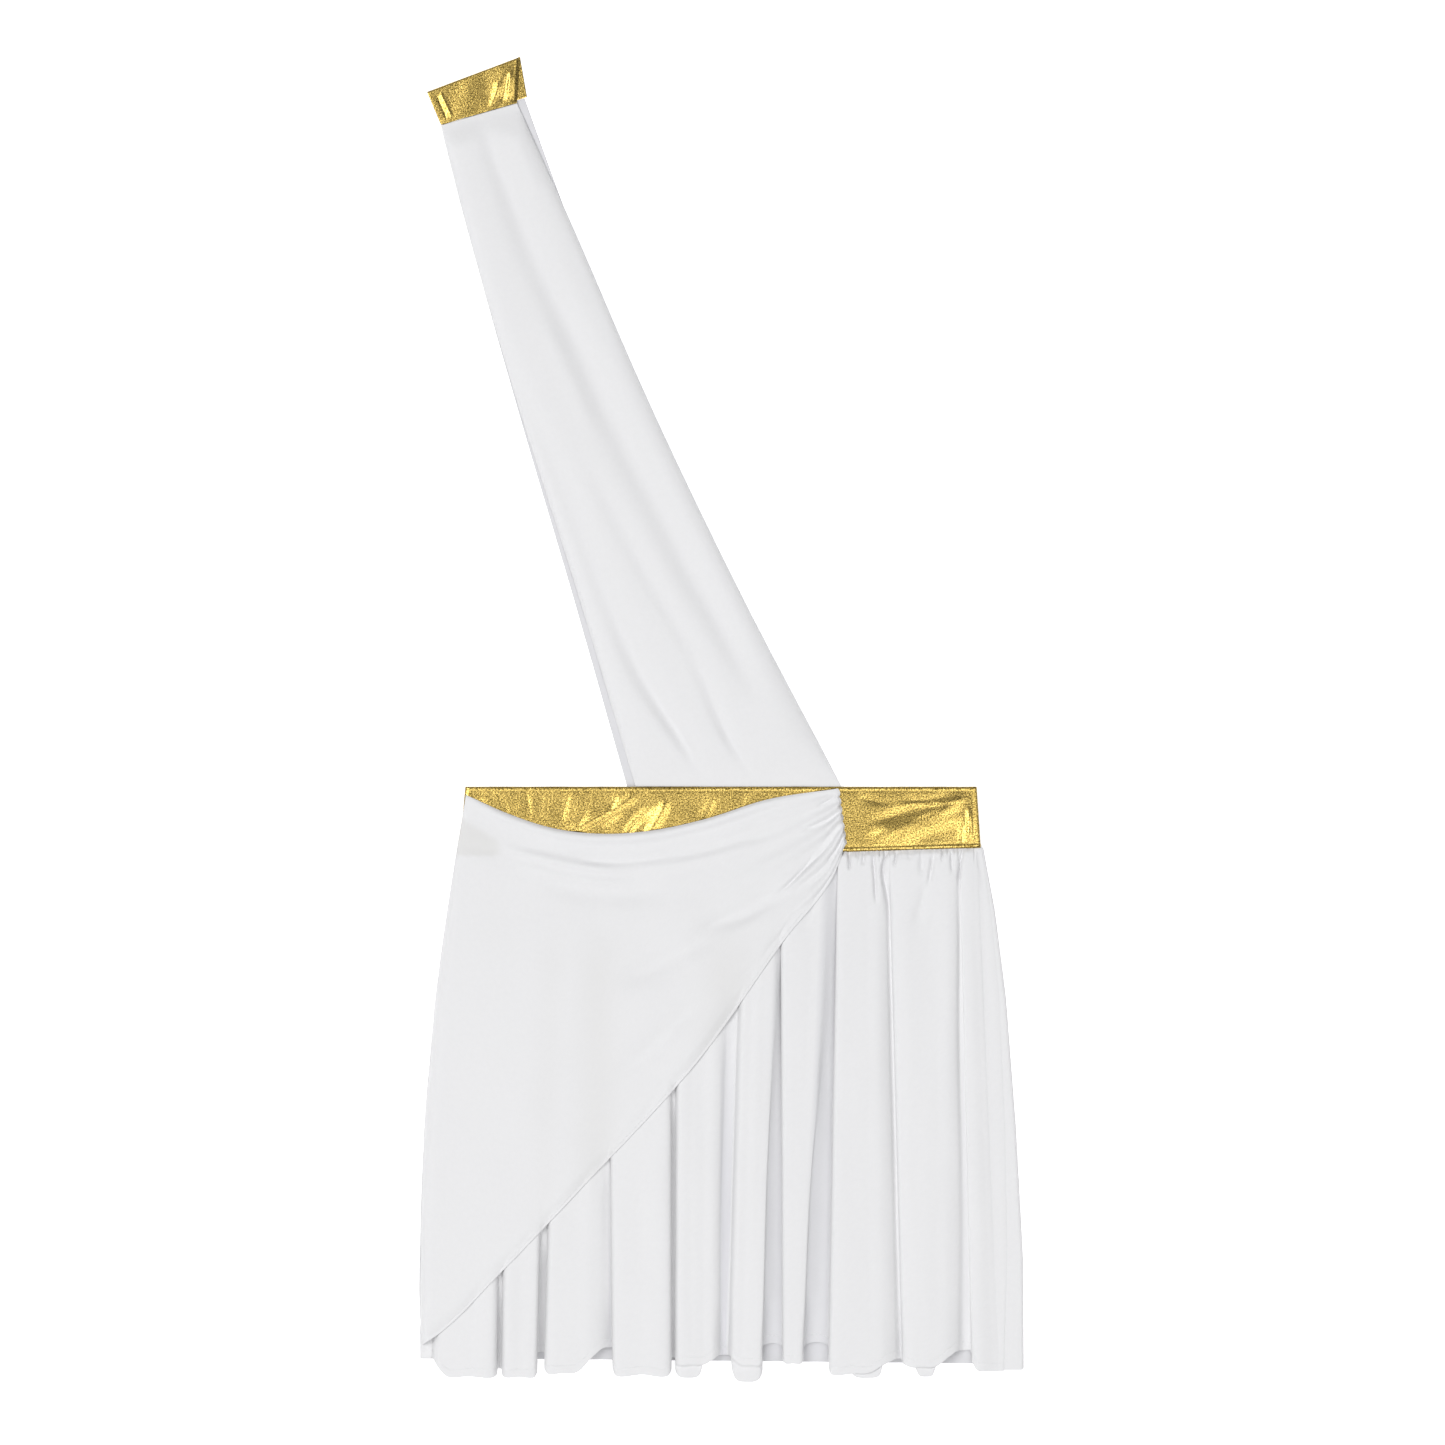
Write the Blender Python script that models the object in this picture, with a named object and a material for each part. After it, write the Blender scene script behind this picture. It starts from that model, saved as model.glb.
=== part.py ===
"""Greek god costume: a one-shoulder toga of white jersey with gold trim.

The garment lies flat on its back, front up. +X is to the viewer's right, +Y runs from the hem to the
shoulder and +Z is up, with z = 0 on the surface it lies on. The origin is under the middle of the whole
garment. Every size below is in millimetres and becomes metres when a point is placed.
"""

import math
from collections import namedtuple

import bmesh
import bpy
from mathutils import Vector

MM = 0.001

# Cloth
WALL = 1.2  # jersey, drawn as a wall
BAND_WALL = 1.8  # foil jersey folded over elastic
SEAM = 0.3  # between two pieces at a seam, or one lying on another
SEAM_ALONG = 0.35  # between two edges that meet in the plane of the cloth

# Waistband, laid flat
BAND_TOP_Y = -54.4
BAND_LOW_Y = -105.6
BAND_LOW_RISE = 3.2  # how far the low edge climbs towards the right end
BAND_RISE_FROM_X = 99.0
BAND_LEFT_TOP_X = -204.8
BAND_LEFT_LOW_X = -209.6
BAND_RIGHT_TOP_X = 203.2
BAND_RIGHT_LOW_X = 206.4
PUCKER_LENGTH = 17.0  # from one pucker of the elastic to the next
PUCKER_HEIGHT = 0.5

# Skirt
HEM_LEVEL_Y = -489.0  # where the places of the folds at the hem are measured
SKIRT_DEPTH = BAND_LOW_Y - HEM_LEVEL_Y
BACK_HEM_LEFT_Y = -511.0
BACK_HEM_RIGHT_Y = -516.0
WRAP_HEM_Y = -520.8  # hem of the strip that comes round the right side
WRAP_AT_WAIST = 3.0  # how far the back panel comes onto the front
WRAP_AT_HEM = 17.0
WRAP_TURN = 1.5  # outer radius of the turn at the waist
WRAP_TURN_AT_HEM = 2.75
RISE_AT_WAIST = 0.1  # share of a fold's height that is left at the waist
RISE_LENGTH = 190.0  # how far below the band the folds reach their full height
GATHER_LENGTH = 9.0  # from one gather to the next along the waist
GATHER_HEIGHT = 0.7
GATHER_REACH = 30.0  # how far the gathers run down
FRONT_Z = WALL + SEAM  # underside of the front panel in its valleys
SHOULDER = 4.0  # from a fold's edge to its flat top
SHOULDER_HEIGHT = 0.94  # share of the fold's height there
FLANK_HEIGHT = 0.55  # share of the fold's height at its edge
FOOT_HEIGHT = 0.25  # the same where the side leaves the bend at its foot
SOFT_SLOPE = 2.5  # how far a fold's side slopes out where the folds begin
BEND = 2.2  # radius of the bend from a fold's side to the valley floor
OPEN_VALLEY = 10.0  # a valley narrower than this is shallower
TUCK_PER_HEIGHT = 0.35  # how far the cloth may tuck under for each millimetre of a fold's height
LOWEST_TUCKED = 5.0  # height under which a fold's side slopes out
HIGH_PART = 0.3  # share of the way down where a fold starts to take the shape it has at the hem
LOW_PART = 0.8  # and where it has it

Side = namedtuple("Side", "below_band left right")
SIDES = [
    Side(0.0, -212.0, 209.0),
    Side(47.0, -219.2, 218.4),
    Side(111.0, -228.0, 227.2),
    Side(207.0, -236.8, 235.2),
    Side(303.0, -240.8, 240.8),
    Side(420.0, -241.6, 241.6),
]

# One row for each fold of the front panel, from left to right: its edges at the waist and at the hem as
# seen from the front, its height, how far the cloth tucks in under its left and right edge in the upper
# part and at the hem (below zero, how far it slopes out), where its hem hangs, and the height and hem of
# the valley on its right.
Fold = namedtuple(
    "Fold",
    "left_waist right_waist left_hem right_hem height left_high left_low right_high right_low"
    " hem_y valley valley_hem_y",
)
FOLDS = [
    Fold(-201.6, -175.2, -225.6, -180.0, 11.5, 1.5, 1.5, 2.0, 3.0, -524.5, 0.0, -519.0),
    Fold(-168.0, -138.4, -172.8, -148.0, 12.0, -3.0, -3.0, 2.0, 2.5, -525.0, 0.0, -506.0),
    Fold(-130.0, -105.6, -141.6, -112.0, 11.0, 2.0, 2.0, -6.0, -14.0, -522.0, 2.5, -502.0),
    Fold(-91.2, -41.0, -87.2, -40.8, 12.0, 2.0, 2.5, 2.0, 3.0, -524.0, 0.0, -510.0),
    Fold(-32.0, -10.0, -33.6, -17.6, 11.0, -2.0, -2.0, -9.0, -15.0, -525.6, 3.0, -508.0),
    Fold(22.4, 40.6, 11.0, 32.0, 12.0, -6.0, -7.0, 2.0, 3.0, -529.6, 0.0, -502.0),
    Fold(50.6, 80.4, 48.8, 64.8, 11.0, 2.0, 2.5, 2.0, 1.5, -514.4, 0.0, -502.0),
    Fold(93.0, 121.0, 85.6, 123.2, 12.0, 2.0, 2.5, -4.0, -12.0, -525.6, 1.5, -518.0),
    Fold(130.0, 180.4, 152.0, 174.4, 10.0, 2.0, -7.0, -4.0, -8.0, -524.8, 1.0, -516.0),
    Fold(191.0, 198.0, 200.8, 214.0, 6.0, 0.5, -2.0, -3.0, -4.0, -521.0, 2.8, -520.8),
]

# Drape: the overlay on the left of the front. Its upper edge sags from the side seam to the gather, and
# its lower edge runs down across the folds to a tip at the side seam.
Point = namedtuple("Point", "x y")
DRAPE_UPPER = [
    Point(-204.8, -60.8),
    Point(-172.8, -75.2),
    Point(-132.8, -88.0),
    Point(-92.8, -92.0),
    Point(-52.8, -88.8),
    Point(-12.8, -80.0),
    Point(35.2, -64.8),
    Point(92.8, -55.6),
]
DRAPE_LOWER = [
    Point(-239.2, -500.0),
    Point(-226.4, -491.2),
    Point(-179.2, -444.8),
    Point(-108.8, -371.2),
    Point(-17.6, -271.2),
    Point(49.6, -176.8),
    Point(91.2, -120.8),
    Point(98.4, -98.4),
]
DRAPE_SEAM = [
    Point(-204.8, -60.8),
    Point(-214.4, -120.8),
    Point(-228.0, -216.8),
    Point(-236.8, -312.8),
    Point(-241.2, -408.8),
    Point(-241.6, -470.0),
    Point(-239.2, -500.0),
]
DRAPE_RISE = 12.4  # height of the folds it lies on, with room
DRAPE_OVER_BAND = 2.0 * BAND_WALL + SEAM + 0.4  # underside of the drape on the band
DRAPE_OVER_SKIRT = FRONT_Z + WALL + SEAM  # and on the side of the skirt
DRAPE_SETTLES = 40.0  # how far below the band it has come down from one to the other

# One row for each fold of the drape: its place across the piece (0 at the upper edge, 1 at the lower) at
# the gather and where it dies out, how far it reaches from the gather (1 is the side seam), its half
# width at both ends as a share of the piece, and its height.
DrapeFold = namedtuple("DrapeFold", "at_gather at_end reach width_gather width_end height")
DRAPE_FOLDS = [
    DrapeFold(0.00, 0.00, 0.95, 0.045, 0.03, 1.4),
    DrapeFold(0.13, 0.08, 0.75, 0.050, 0.04, 2.2),
    DrapeFold(0.30, 0.22, 0.55, 0.060, 0.06, 2.8),
    DrapeFold(0.49, 0.36, 0.50, 0.065, 0.07, 3.2),
    DrapeFold(0.75, 0.60, 0.45, 0.065, 0.07, 3.2),
    DrapeFold(0.93, 0.84, 0.60, 0.055, 0.06, 2.8),
]

# Sashes: one row for each level, from the shoulder tab to the waistband.
Level = namedtuple("Level", "left_x left_y right_x right_y")
SASH_FRONT = [
    Level(-224.8, 474.8, -164.0, 492.4),
    Level(-205.6, 399.2, -124.0, 403.2),
    Level(-164.0, 255.2, -59.6, 255.2),
    Level(-113.6, 95.2, 17.2, 95.2),
    Level(-69.1, -54.0, 95.6, -54.0),
]
SASH_BACK = [
    Level(-223.6, 474.8, -156.0, 497.2),
    Level(-205.6, 399.2, -120.8, 399.2),
    Level(-165.6, 255.2, -59.6, 255.2),
    Level(-118.4, 95.2, 17.2, 95.2),
    Level(-76.0, -54.0, 95.6, -54.0),
]
SASH_CROWN = 3.4  # how far the middle of the front sash stands off the back one
SASH_END = 0.07  # share of its length over which each end comes down to its seam

# One row for each soft trough along the front sash: its place across (0 left, 1 right) and along (0 at
# the shoulder, 1 at the waist) where it starts and ends, its half width and its depth.
Trough = namedtuple("Trough", "across along across_end along_end width depth")
SASH_TROUGHS = [
    Trough(0.58, 0.03, 0.80, 0.90, 7.0, 1.8),
    Trough(0.12, 0.66, 0.34, 1.00, 6.0, 1.6),
    Trough(0.56, 0.80, 0.59, 1.00, 5.0, 1.6),
    Trough(0.04, 0.30, 0.17, 0.68, 8.0, 1.2),
]

TROUGH_FADE = 0.22  # share of a trough's length over which it starts and dies out

# Shoulder tab: a gold strip folded over at the shoulder, with its three straight edges.
TabEdge = namedtuple("TabEdge", "left_x left_y right_x right_y")
TAB_BACK = TabEdge(-223.6, 475.2, -156.0, 497.6)
TAB_FOLD = TabEdge(-236.0, 501.6, -161.6, 529.6)
TAB_FRONT = TabEdge(-224.8, 475.2, -164.0, 492.8)
TAB_TURN = 1.5  # outer radius of the fold

WHITE = (0.80, 0.80, 0.83)
GOLD = (0.62, 0.40, 0.07)


def mix(a, b, t):
    return a + (b - a) * t


def smooth(t):
    t = min(max(t, 0.0), 1.0)
    return t * t * (3.0 - 2.0 * t)


def bell(distance, width):
    return math.exp(-((distance / width) ** 2))


def through(points, steps):
    """Points on a smooth curve through the given ones, with steps[i] pieces in its i-th stretch."""
    lengths = [max((b - a).length, 1e-6) for a, b in zip(points, points[1:])]
    slopes = [(b - a) / h for a, b, h in zip(points, points[1:], lengths)]
    tangents = [slopes[0]]
    for before, after, h0, h1 in zip(slopes, slopes[1:], lengths, lengths[1:]):
        tangents.append((before * h1 + after * h0) / (h0 + h1))
    tangents.append(slopes[-1])
    curve = [points[0].copy()]
    for i, count in enumerate(steps):
        h = lengths[i]
        for k in range(1, count + 1):
            t = k / count
            start = points[i] * (2 * t**3 - 3 * t**2 + 1) + tangents[i] * (h * (t**3 - 2 * t**2 + t))
            end = points[i + 1] * (3 * t**2 - 2 * t**3) + tangents[i + 1] * (h * (t**3 - t**2))
            curve.append(start + end)
    return curve


def along_edge(rows, t):
    """The point at share t of the length of a smooth edge through a table's rows."""
    curve = through([Vector(row) for row in rows], [8] * (len(rows) - 1))
    lengths = [(b - a).length for a, b in zip(curve, curve[1:])]
    left = t * sum(lengths)
    for a, b, length in zip(curve, curve[1:], lengths):
        if left <= length:
            return a.lerp(b, left / length)
        left -= length
    return curve[-1]


def row_at(rows, t):
    """A table's row, read smoothly at share t of the way down it."""
    curve = through([Vector(row) for row in rows], [6] * (len(rows) - 1))
    place = min(max(t, 0.0), 1.0) * (len(curve) - 1)
    i = min(int(place), len(curve) - 2)
    return type(rows[0])(*curve[i].lerp(curve[i + 1], place - i))


def side_at(below_band):
    """The skirt's left and right outline at a distance below the band."""
    for a, b in zip(SIDES, SIDES[1:]):
        if below_band <= b.below_band:
            break
    t = (below_band - a.below_band) / (b.below_band - a.below_band)
    return Side(*[mix(p, q, t) for p, q in zip(a, b)])


def band_low_y(x):
    rise = (x - BAND_RISE_FROM_X) / (BAND_RIGHT_LOW_X - BAND_RISE_FROM_X)
    return BAND_LOW_Y + BAND_LOW_RISE * min(max(rise, 0.0), 1.0)


def rise_at(below_band):
    """The share of its height that a fold has at a distance below the band: quick at first, then slower."""
    if below_band < 0.0:
        return RISE_AT_WAIST * max(0.0, 1.0 + below_band / (BAND_TOP_Y - BAND_LOW_Y))
    return mix(RISE_AT_WAIST, 1.0, smooth(0.5 + 0.5 * below_band / RISE_LENGTH) * 2.0 - 1.0)


def fold_side(fold, edge, inward, tuck, room, floor, floor_hem, width, rise):
    """Stations up one side of a fold, from the valley floor to its flat top.

    The valley beyond the edge is `room` wide and the fold itself is `width` wide there.
    """
    height = fold.height * rise
    slope = min(SOFT_SLOPE, room * 0.28)
    steepest = max(TUCK_PER_HEIGHT * (height - floor - LOWEST_TUCKED), -slope)
    tuck = min(mix(-slope, max(tuck, -room * 0.7), smooth((rise - RISE_AT_WAIST) / 0.4)), steepest)
    bend = min(BEND, room * 0.16 + max(tuck, 0.0) * 0.7)
    foot = floor + min(bend, (height - floor) * FOOT_HEIGHT)
    flank = mix(floor, height, FLANK_HEIGHT)
    return [
        (edge + inward * (tuck - bend), floor, floor_hem),
        (edge + inward * tuck, foot, mix(floor_hem, fold.hem_y, FOOT_HEIGHT)),
        (edge + inward * min(tuck, 0.0) * 0.45, flank, mix(floor_hem, fold.hem_y, FLANK_HEIGHT)),
        (edge + inward * min(SHOULDER, width * 0.25), height * SHOULDER_HEIGHT, fold.hem_y),
    ]


def valley_floor(fold, valley, room, rise):
    """The height of a valley's floor beside a fold: narrow valleys don't reach down to the back panel."""
    shallow = fold.height * rise * 0.8
    return mix(shallow, valley * rise, smooth(room / OPEN_VALLEY + rise * 0.3))


def fold_stations(down):
    """The front panel's cross-section at a share of the way down: x, height and hem of each station."""
    below = down * SKIRT_DEPTH
    rise = rise_at(below)
    side = side_at(below)
    seam_x = side.right - mix(WRAP_AT_WAIST, WRAP_AT_HEM, down)
    low = smooth((down - HIGH_PART) / (LOW_PART - HIGH_PART))
    edges = [(mix(f.left_waist, f.left_hem, down), mix(f.right_waist, f.right_hem, down)) for f in FOLDS]
    next_lefts = [left for left, right in edges[1:]] + [seam_x]
    stations = [(side.left, 0.0, BACK_HEM_LEFT_Y)]
    valley, valley_hem, before = 0.0, FOLDS[0].valley_hem_y, side.left
    for fold, (left, right), after in zip(FOLDS, edges, next_lefts):
        left_tuck = mix(fold.left_high, fold.left_low, low)
        right_tuck = mix(fold.right_high, fold.right_low, low)
        sides = [
            (left, 1, left_tuck, left - before, valley, valley_hem),
            (right, -1, right_tuck, after - right, fold.valley, fold.valley_hem_y),
        ]
        up, back_down = [
            fold_side(
                fold, edge, inward, tuck, room, valley_floor(fold, z, room, rise), hem, right - left, rise
            )
            for edge, inward, tuck, room, z, hem in sides
        ]
        stations += up + [((left + right) / 2, fold.height * rise, fold.hem_y)] + back_down[::-1]
        valley, valley_hem, before = fold.valley, fold.valley_hem_y, right
    stations[-1] = (seam_x, FOLDS[-1].valley * rise, WRAP_HEM_Y)
    return [Vector((x, max(z, 0.0), hem)) for x, z, hem in stations]


def front_path(down, steps):
    """The front panel's points across the skirt at a share of the way down."""
    points = []
    for x, z, hem_y in through(fold_stations(down), steps):
        top_y = band_low_y(x) - SEAM_ALONG
        y = mix(top_y, hem_y, down)
        gather = GATHER_HEIGHT * max(0.0, 1.0 - (top_y - y) / GATHER_REACH)
        lift = gather * (0.5 + 0.5 * math.sin(math.tau * x / GATHER_LENGTH))
        points.append(Vector((x, y, FRONT_Z + max(z, 0.0) + lift)))
    return points


def drape_floor(x, y):
    """The height at which the drape lies on the band and on the folds."""
    below = band_low_y(x) - y
    side = side_at(max(below, 0.0))
    first_fold = mix(FOLDS[0].left_waist, FOLDS[0].left_hem, max(below, 0.0) / SKIRT_DEPTH)
    up_the_side = smooth((x - side.left) / (first_fold - side.left))
    base = mix(DRAPE_OVER_BAND, DRAPE_OVER_SKIRT, smooth(below / DRAPE_SETTLES))
    return base + up_the_side * DRAPE_RISE * rise_at(below)


def drape_point(u, v):
    """A point of the drape: u from the side seam to the gather, v from its upper to its lower edge."""
    upper = along_edge(DRAPE_UPPER, u)
    lower = along_edge(DRAPE_LOWER, u)
    seam = along_edge(DRAPE_SEAM, v)
    straight_seam = Vector(DRAPE_UPPER[0]).lerp(Vector(DRAPE_LOWER[0]), v)
    place = upper.lerp(lower, v) + (seam - straight_seam) * (1.0 - u)
    lift = 0.0
    for fold in DRAPE_FOLDS:
        away = (1.0 - u) / fold.reach
        if away < 1.0:
            middle = mix(fold.at_gather, fold.at_end, away)
            width = mix(fold.width_gather, fold.width_end, away)
            lift += fold.height * (1.0 - smooth(away)) * bell(v - middle, width)
    return Vector((place.x, place.y, drape_floor(place.x, place.y) + lift))


def sash_point(rows, u, v):
    """A point in the plane of a sash: u from its left edge to its right, v from shoulder to waist."""
    level = row_at(rows, v)
    return Vector((mix(level.left_x, level.right_x, u), mix(level.left_y, level.right_y, u), 0.0))


def sash_front_point(u, v):
    place = sash_point(SASH_FRONT, u, v)
    level = row_at(SASH_FRONT, v)
    width = level.right_x - level.left_x
    across = 1.0 - (2.0 * u - 1.0) ** 4
    ends = smooth(v / SASH_END) * smooth((1.0 - v) / SASH_END)
    depth = 0.0
    for trough in SASH_TROUGHS:
        share = (v - trough.along) / (trough.along_end - trough.along)
        if 0.0 <= share <= 1.0:
            middle = mix(trough.across, trough.across_end, share)
            fade = smooth(share / TROUGH_FADE) * smooth((1.0 - share) / TROUGH_FADE)
            depth += trough.depth * fade * bell((u - middle) * width, trough.width)
    place.z = WALL + SEAM + across * ends * max(SASH_CROWN - depth, 0.0)
    return place


def band_point(u, v, underside, pucker):
    """A point of a waistband panel: u from left to right, v from its top edge to its low edge."""
    left = mix(BAND_LEFT_TOP_X, BAND_LEFT_LOW_X, v)
    right = mix(BAND_RIGHT_TOP_X, BAND_RIGHT_LOW_X, v)
    x = mix(left, right, u)
    wave = 0.5 + 0.5 * math.sin(math.tau * (x / PUCKER_LENGTH + v / 3.0))
    y = mix(BAND_TOP_Y, band_low_y(x), v)
    return Vector((x, y, underside + pucker * wave * math.sin(math.pi * v)))


def turned(rim, inner, radius, count):
    """Points round the turn of a strip that runs from inner out to rim, turns up and comes back."""
    outward = (rim - inner).normalized()
    bend = []
    for k in range(count + 1):
        angle = math.pi * k / count - math.pi / 2
        place = rim + outward * radius * (math.cos(angle) - 1.0)
        bend.append(Vector((place.x, place.y, radius + radius * math.sin(angle))))
    return bend


def tab_path(u):
    """The tab's outer face at a share u across it: up its back, round the fold and down its front."""
    back, fold, front = [
        Vector((mix(edge.left_x, edge.right_x, u), mix(edge.left_y, edge.right_y, u)))
        for edge in (TAB_BACK, TAB_FOLD, TAB_FRONT)
    ]
    bend = turned(fold, back, TAB_TURN, 6)
    top = 2.0 * TAB_TURN
    start = [Vector((*back.lerp(bend[0].xy, k / 3), 0.0)) for k in range(3)]
    end = [Vector((*bend[-1].xy.lerp(front, k / 3), top)) for k in range(1, 4)]
    return start + bend + end


def back_path(down):
    """The back panel's outer face across the skirt: flat below, then round the right side to its seam."""
    below = down * SKIRT_DEPTH
    side = side_at(below)
    wrap = mix(WRAP_AT_WAIST, WRAP_AT_HEM, down)
    radius = mix(WRAP_TURN, WRAP_TURN_AT_HEM, rise_at(below))
    rim, inner = Vector((side.right, 0.0)), Vector((side.left, 0.0))
    bend = turned(rim, inner, radius, 8)
    seam_x = side.right - wrap + SEAM_ALONG
    flat = [Vector((mix(side.left, bend[0].x, k / 10), 0.0, 0.0)) for k in range(10)]
    strip = [Vector((mix(bend[-1].x, seam_x, k / 3), 0.0, 2.0 * radius)) for k in range(1, 4)]
    points = []
    for place in flat + bend + strip:
        top_y = band_low_y(place.x) - SEAM_ALONG
        share = (place.x - side.left) / (side.right - side.left)
        flat_hem = mix(BACK_HEM_LEFT_Y, BACK_HEM_RIGHT_Y, share)
        hem_y = mix(flat_hem, WRAP_HEM_Y, place.z / (2.0 * radius))
        points.append(Vector((place.x, mix(top_y, hem_y, down), place.z)))
    return points


def finish_material(name, colour, roughness, metallic):
    material = bpy.data.materials.new(name)
    material.use_nodes = True
    shader = material.node_tree.nodes["Principled BSDF"]
    shader.inputs["Base Color"].default_value = (*colour, 1.0)
    shader.inputs["Roughness"].default_value = roughness
    shader.inputs["Metallic"].default_value = metallic
    return material


def cloth(name, columns, rows, place, wall, material):
    """A sheet of cloth whose grid point (column, row) is at place(column, row), thickened off that face."""
    sheet = bmesh.new()
    bmesh.ops.create_grid(sheet, x_segments=columns, y_segments=rows, size=0.5)
    for vert in sheet.verts:
        column = round((vert.co.x + 0.5) * columns)
        row = round((0.5 - vert.co.y) * rows)
        vert.co = place(column, row) * MM
    mesh = bpy.data.meshes.new(name)
    sheet.to_mesh(mesh)
    sheet.free()
    mesh.shade_smooth()
    piece = bpy.data.objects.new(name, mesh)
    bpy.context.collection.objects.link(piece)
    piece.data.materials.append(material)
    thicken = piece.modifiers.new("wall", "SOLIDIFY")
    thicken.thickness = wall * MM
    thicken.offset = 1.0
    return piece


def make_skirt(white):
    downs = [0.0, 0.02, 0.045, 0.08, 0.13, 0.2, 0.3, 0.42, 0.58, 0.78, 1.0]
    stations = fold_stations(1.0)
    short = 2.6
    steps = [1 if (b - a).xy.length < short else 2 for a, b in zip(stations, stations[1:])]
    front = [front_path(down, steps) for down in downs]
    back = [back_path(down) for down in downs]
    last = len(downs) - 1
    cloth("skirt_front", len(front[0]) - 1, last, lambda i, j: front[j][i], WALL, white)
    cloth("skirt_back", len(back[0]) - 1, last, lambda i, j: back[j][i], WALL, white)


def make_drape(white):
    columns, rows = 32, 24
    across = [0.5 - 0.5 * math.cos(math.pi * k / columns) for k in range(columns + 1)]
    cloth("drape_panel", columns, rows, lambda i, j: drape_point(across[i], j / rows), WALL, white)


def make_sashes(white):
    columns, rows = 14, 16
    cloth("sash_front", columns, rows, lambda i, j: sash_front_point(i / columns, j / rows), WALL, white)
    cloth("sash_back", 2, rows, lambda i, j: sash_point(SASH_BACK, i / 2, j / rows), WALL, white)


def make_bands(gold):
    columns, rows = 72, 3
    top = BAND_WALL + SEAM
    cloth(
        "waistband_front",
        columns,
        rows,
        lambda i, j: band_point(i / columns, j / rows, top, PUCKER_HEIGHT),
        BAND_WALL - PUCKER_HEIGHT,
        gold,
    )
    cloth("waistband_back", 12, 1, lambda i, j: band_point(i / 12, j, 0.0, 0.0), BAND_WALL, gold)


def make_tab(gold):
    columns = 6
    paths = [tab_path(i / columns) for i in range(columns + 1)]
    cloth("shoulder_tab", columns, len(paths[0]) - 1, lambda i, j: paths[i][-1 - j], WALL, gold)


def main():
    for piece in list(bpy.data.objects):
        bpy.data.objects.remove(piece)
    white = finish_material("white_jersey", WHITE, 0.85, 0.0)
    gold = finish_material("gold_foil_jersey", GOLD, 0.35, 0.9)
    make_skirt(white)
    make_drape(white)
    make_sashes(white)
    make_bands(gold)
    make_tab(gold)


main()
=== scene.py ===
"""One-shoulder toga costume laid flat, front up: white polyester jersey with gold foil-jersey trim.

Every size is in millimetres, in the CAD frame (+X to the viewer's right, +Y to the shoulder, +Z up), and
becomes metres when a mesh is made. Each sewn piece is a thin shell on the form of its own CAD solid.
"""

import math
from collections import namedtuple

import bmesh
import bpy
import numpy as np
from mathutils import Matrix, Vector, noise


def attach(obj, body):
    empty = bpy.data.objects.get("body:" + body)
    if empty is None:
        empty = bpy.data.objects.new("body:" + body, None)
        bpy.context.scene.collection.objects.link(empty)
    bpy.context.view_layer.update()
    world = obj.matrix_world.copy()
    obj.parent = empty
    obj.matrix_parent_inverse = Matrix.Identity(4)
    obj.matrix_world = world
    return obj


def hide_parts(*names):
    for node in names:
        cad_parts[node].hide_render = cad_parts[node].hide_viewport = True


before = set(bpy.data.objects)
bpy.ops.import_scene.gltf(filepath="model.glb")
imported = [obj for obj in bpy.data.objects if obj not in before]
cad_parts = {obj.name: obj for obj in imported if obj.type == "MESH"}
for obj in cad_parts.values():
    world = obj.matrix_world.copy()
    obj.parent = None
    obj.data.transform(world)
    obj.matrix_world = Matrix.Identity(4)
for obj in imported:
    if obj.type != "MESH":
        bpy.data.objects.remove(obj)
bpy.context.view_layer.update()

MM = 0.001


def table(row, *values):
    """Rows of a table, with the names of its columns."""
    return [row(*line) for line in values]


# Cloth
WALL = 1.2  # the CAD wall that a jersey shell lies in the middle of
SEAM = 0.3
SEAM_ALONG = 0.35
JERSEY = 0.5  # thickness of the jersey
FOIL = 1.3  # foil jersey folded over elastic
IN_WALL = (WALL - JERSEY) / 2

# Waistband, laid flat
BAND_WALL = 1.8
BAND_TOP_Y = -54.4
BAND_LOW_Y = -105.6
BAND_LOW_RISE = 3.2
BAND_RISE_FROM_X = 99.0
BAND_LEFT_TOP_X = -204.8
BAND_LEFT_LOW_X = -209.6
BAND_RIGHT_TOP_X = 203.2
BAND_RIGHT_LOW_X = 206.4

# Skirt
HEM_LEVEL_Y = -489.0
SKIRT_DEPTH = BAND_LOW_Y - HEM_LEVEL_Y
BACK_HEM_LEFT_Y = -511.0
BACK_HEM_RIGHT_Y = -516.0
WRAP_HEM_Y = -520.8
WRAP_AT_WAIST = 3.0
WRAP_AT_HEM = 17.0
WRAP_TURN = 1.5
WRAP_TURN_AT_HEM = 2.75
RISE_AT_WAIST = 0.1
RISE_LENGTH = 130.0
FRONT_Z = WALL + SEAM
SHARP_SHOULDER = 1.5  # from a tucked edge of a fold to its flat top
SOFT_SHOULDER = 5.5  # the same at an edge that slopes out
SHOULDER_SHARE = 0.25  # the most of a fold's width that either shoulder takes
SHOULDER_HEIGHT = 0.96
FLANK_HEIGHT = 0.55
FLANK_REACH = 0.5
FOOT_HEIGHT = 0.25
SOFT_SLOPE = 2.5
SLOPE_SHARE = 0.28  # the most of a valley's width that a soft slope takes
OVERHANG_SHARE = 0.7  # and that an overhanging side does
BEND = 3.4
BEND_AT_SLOPE = 0.8  # beside a floor or a side that slopes
OPEN_VALLEY = 10.0
LEAST_SLOPE = 3.0  # how far out a side runs that begins to be a slope and not a steep wall
SLOPE_STOPS = 2.4  # before the middle of the valley, or before the tucked side across it
HEM_SHARE = 0.1  # the last part of the way down, over which the valleys' floors sink
FLOOR_AT_HEM = 0.3  # the share of its height that such a floor still has at the hem
TUCK_PER_HEIGHT = 0.35
LOWEST_TUCKED = 2.5
HIGH_PART = 0.3
LOW_PART = 0.8
HEM_DEPTH = 6.0  # from the hem's edge to its stitching
TUCK_STEP = 4.2
TUCK_REACH = 12.0
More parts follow.
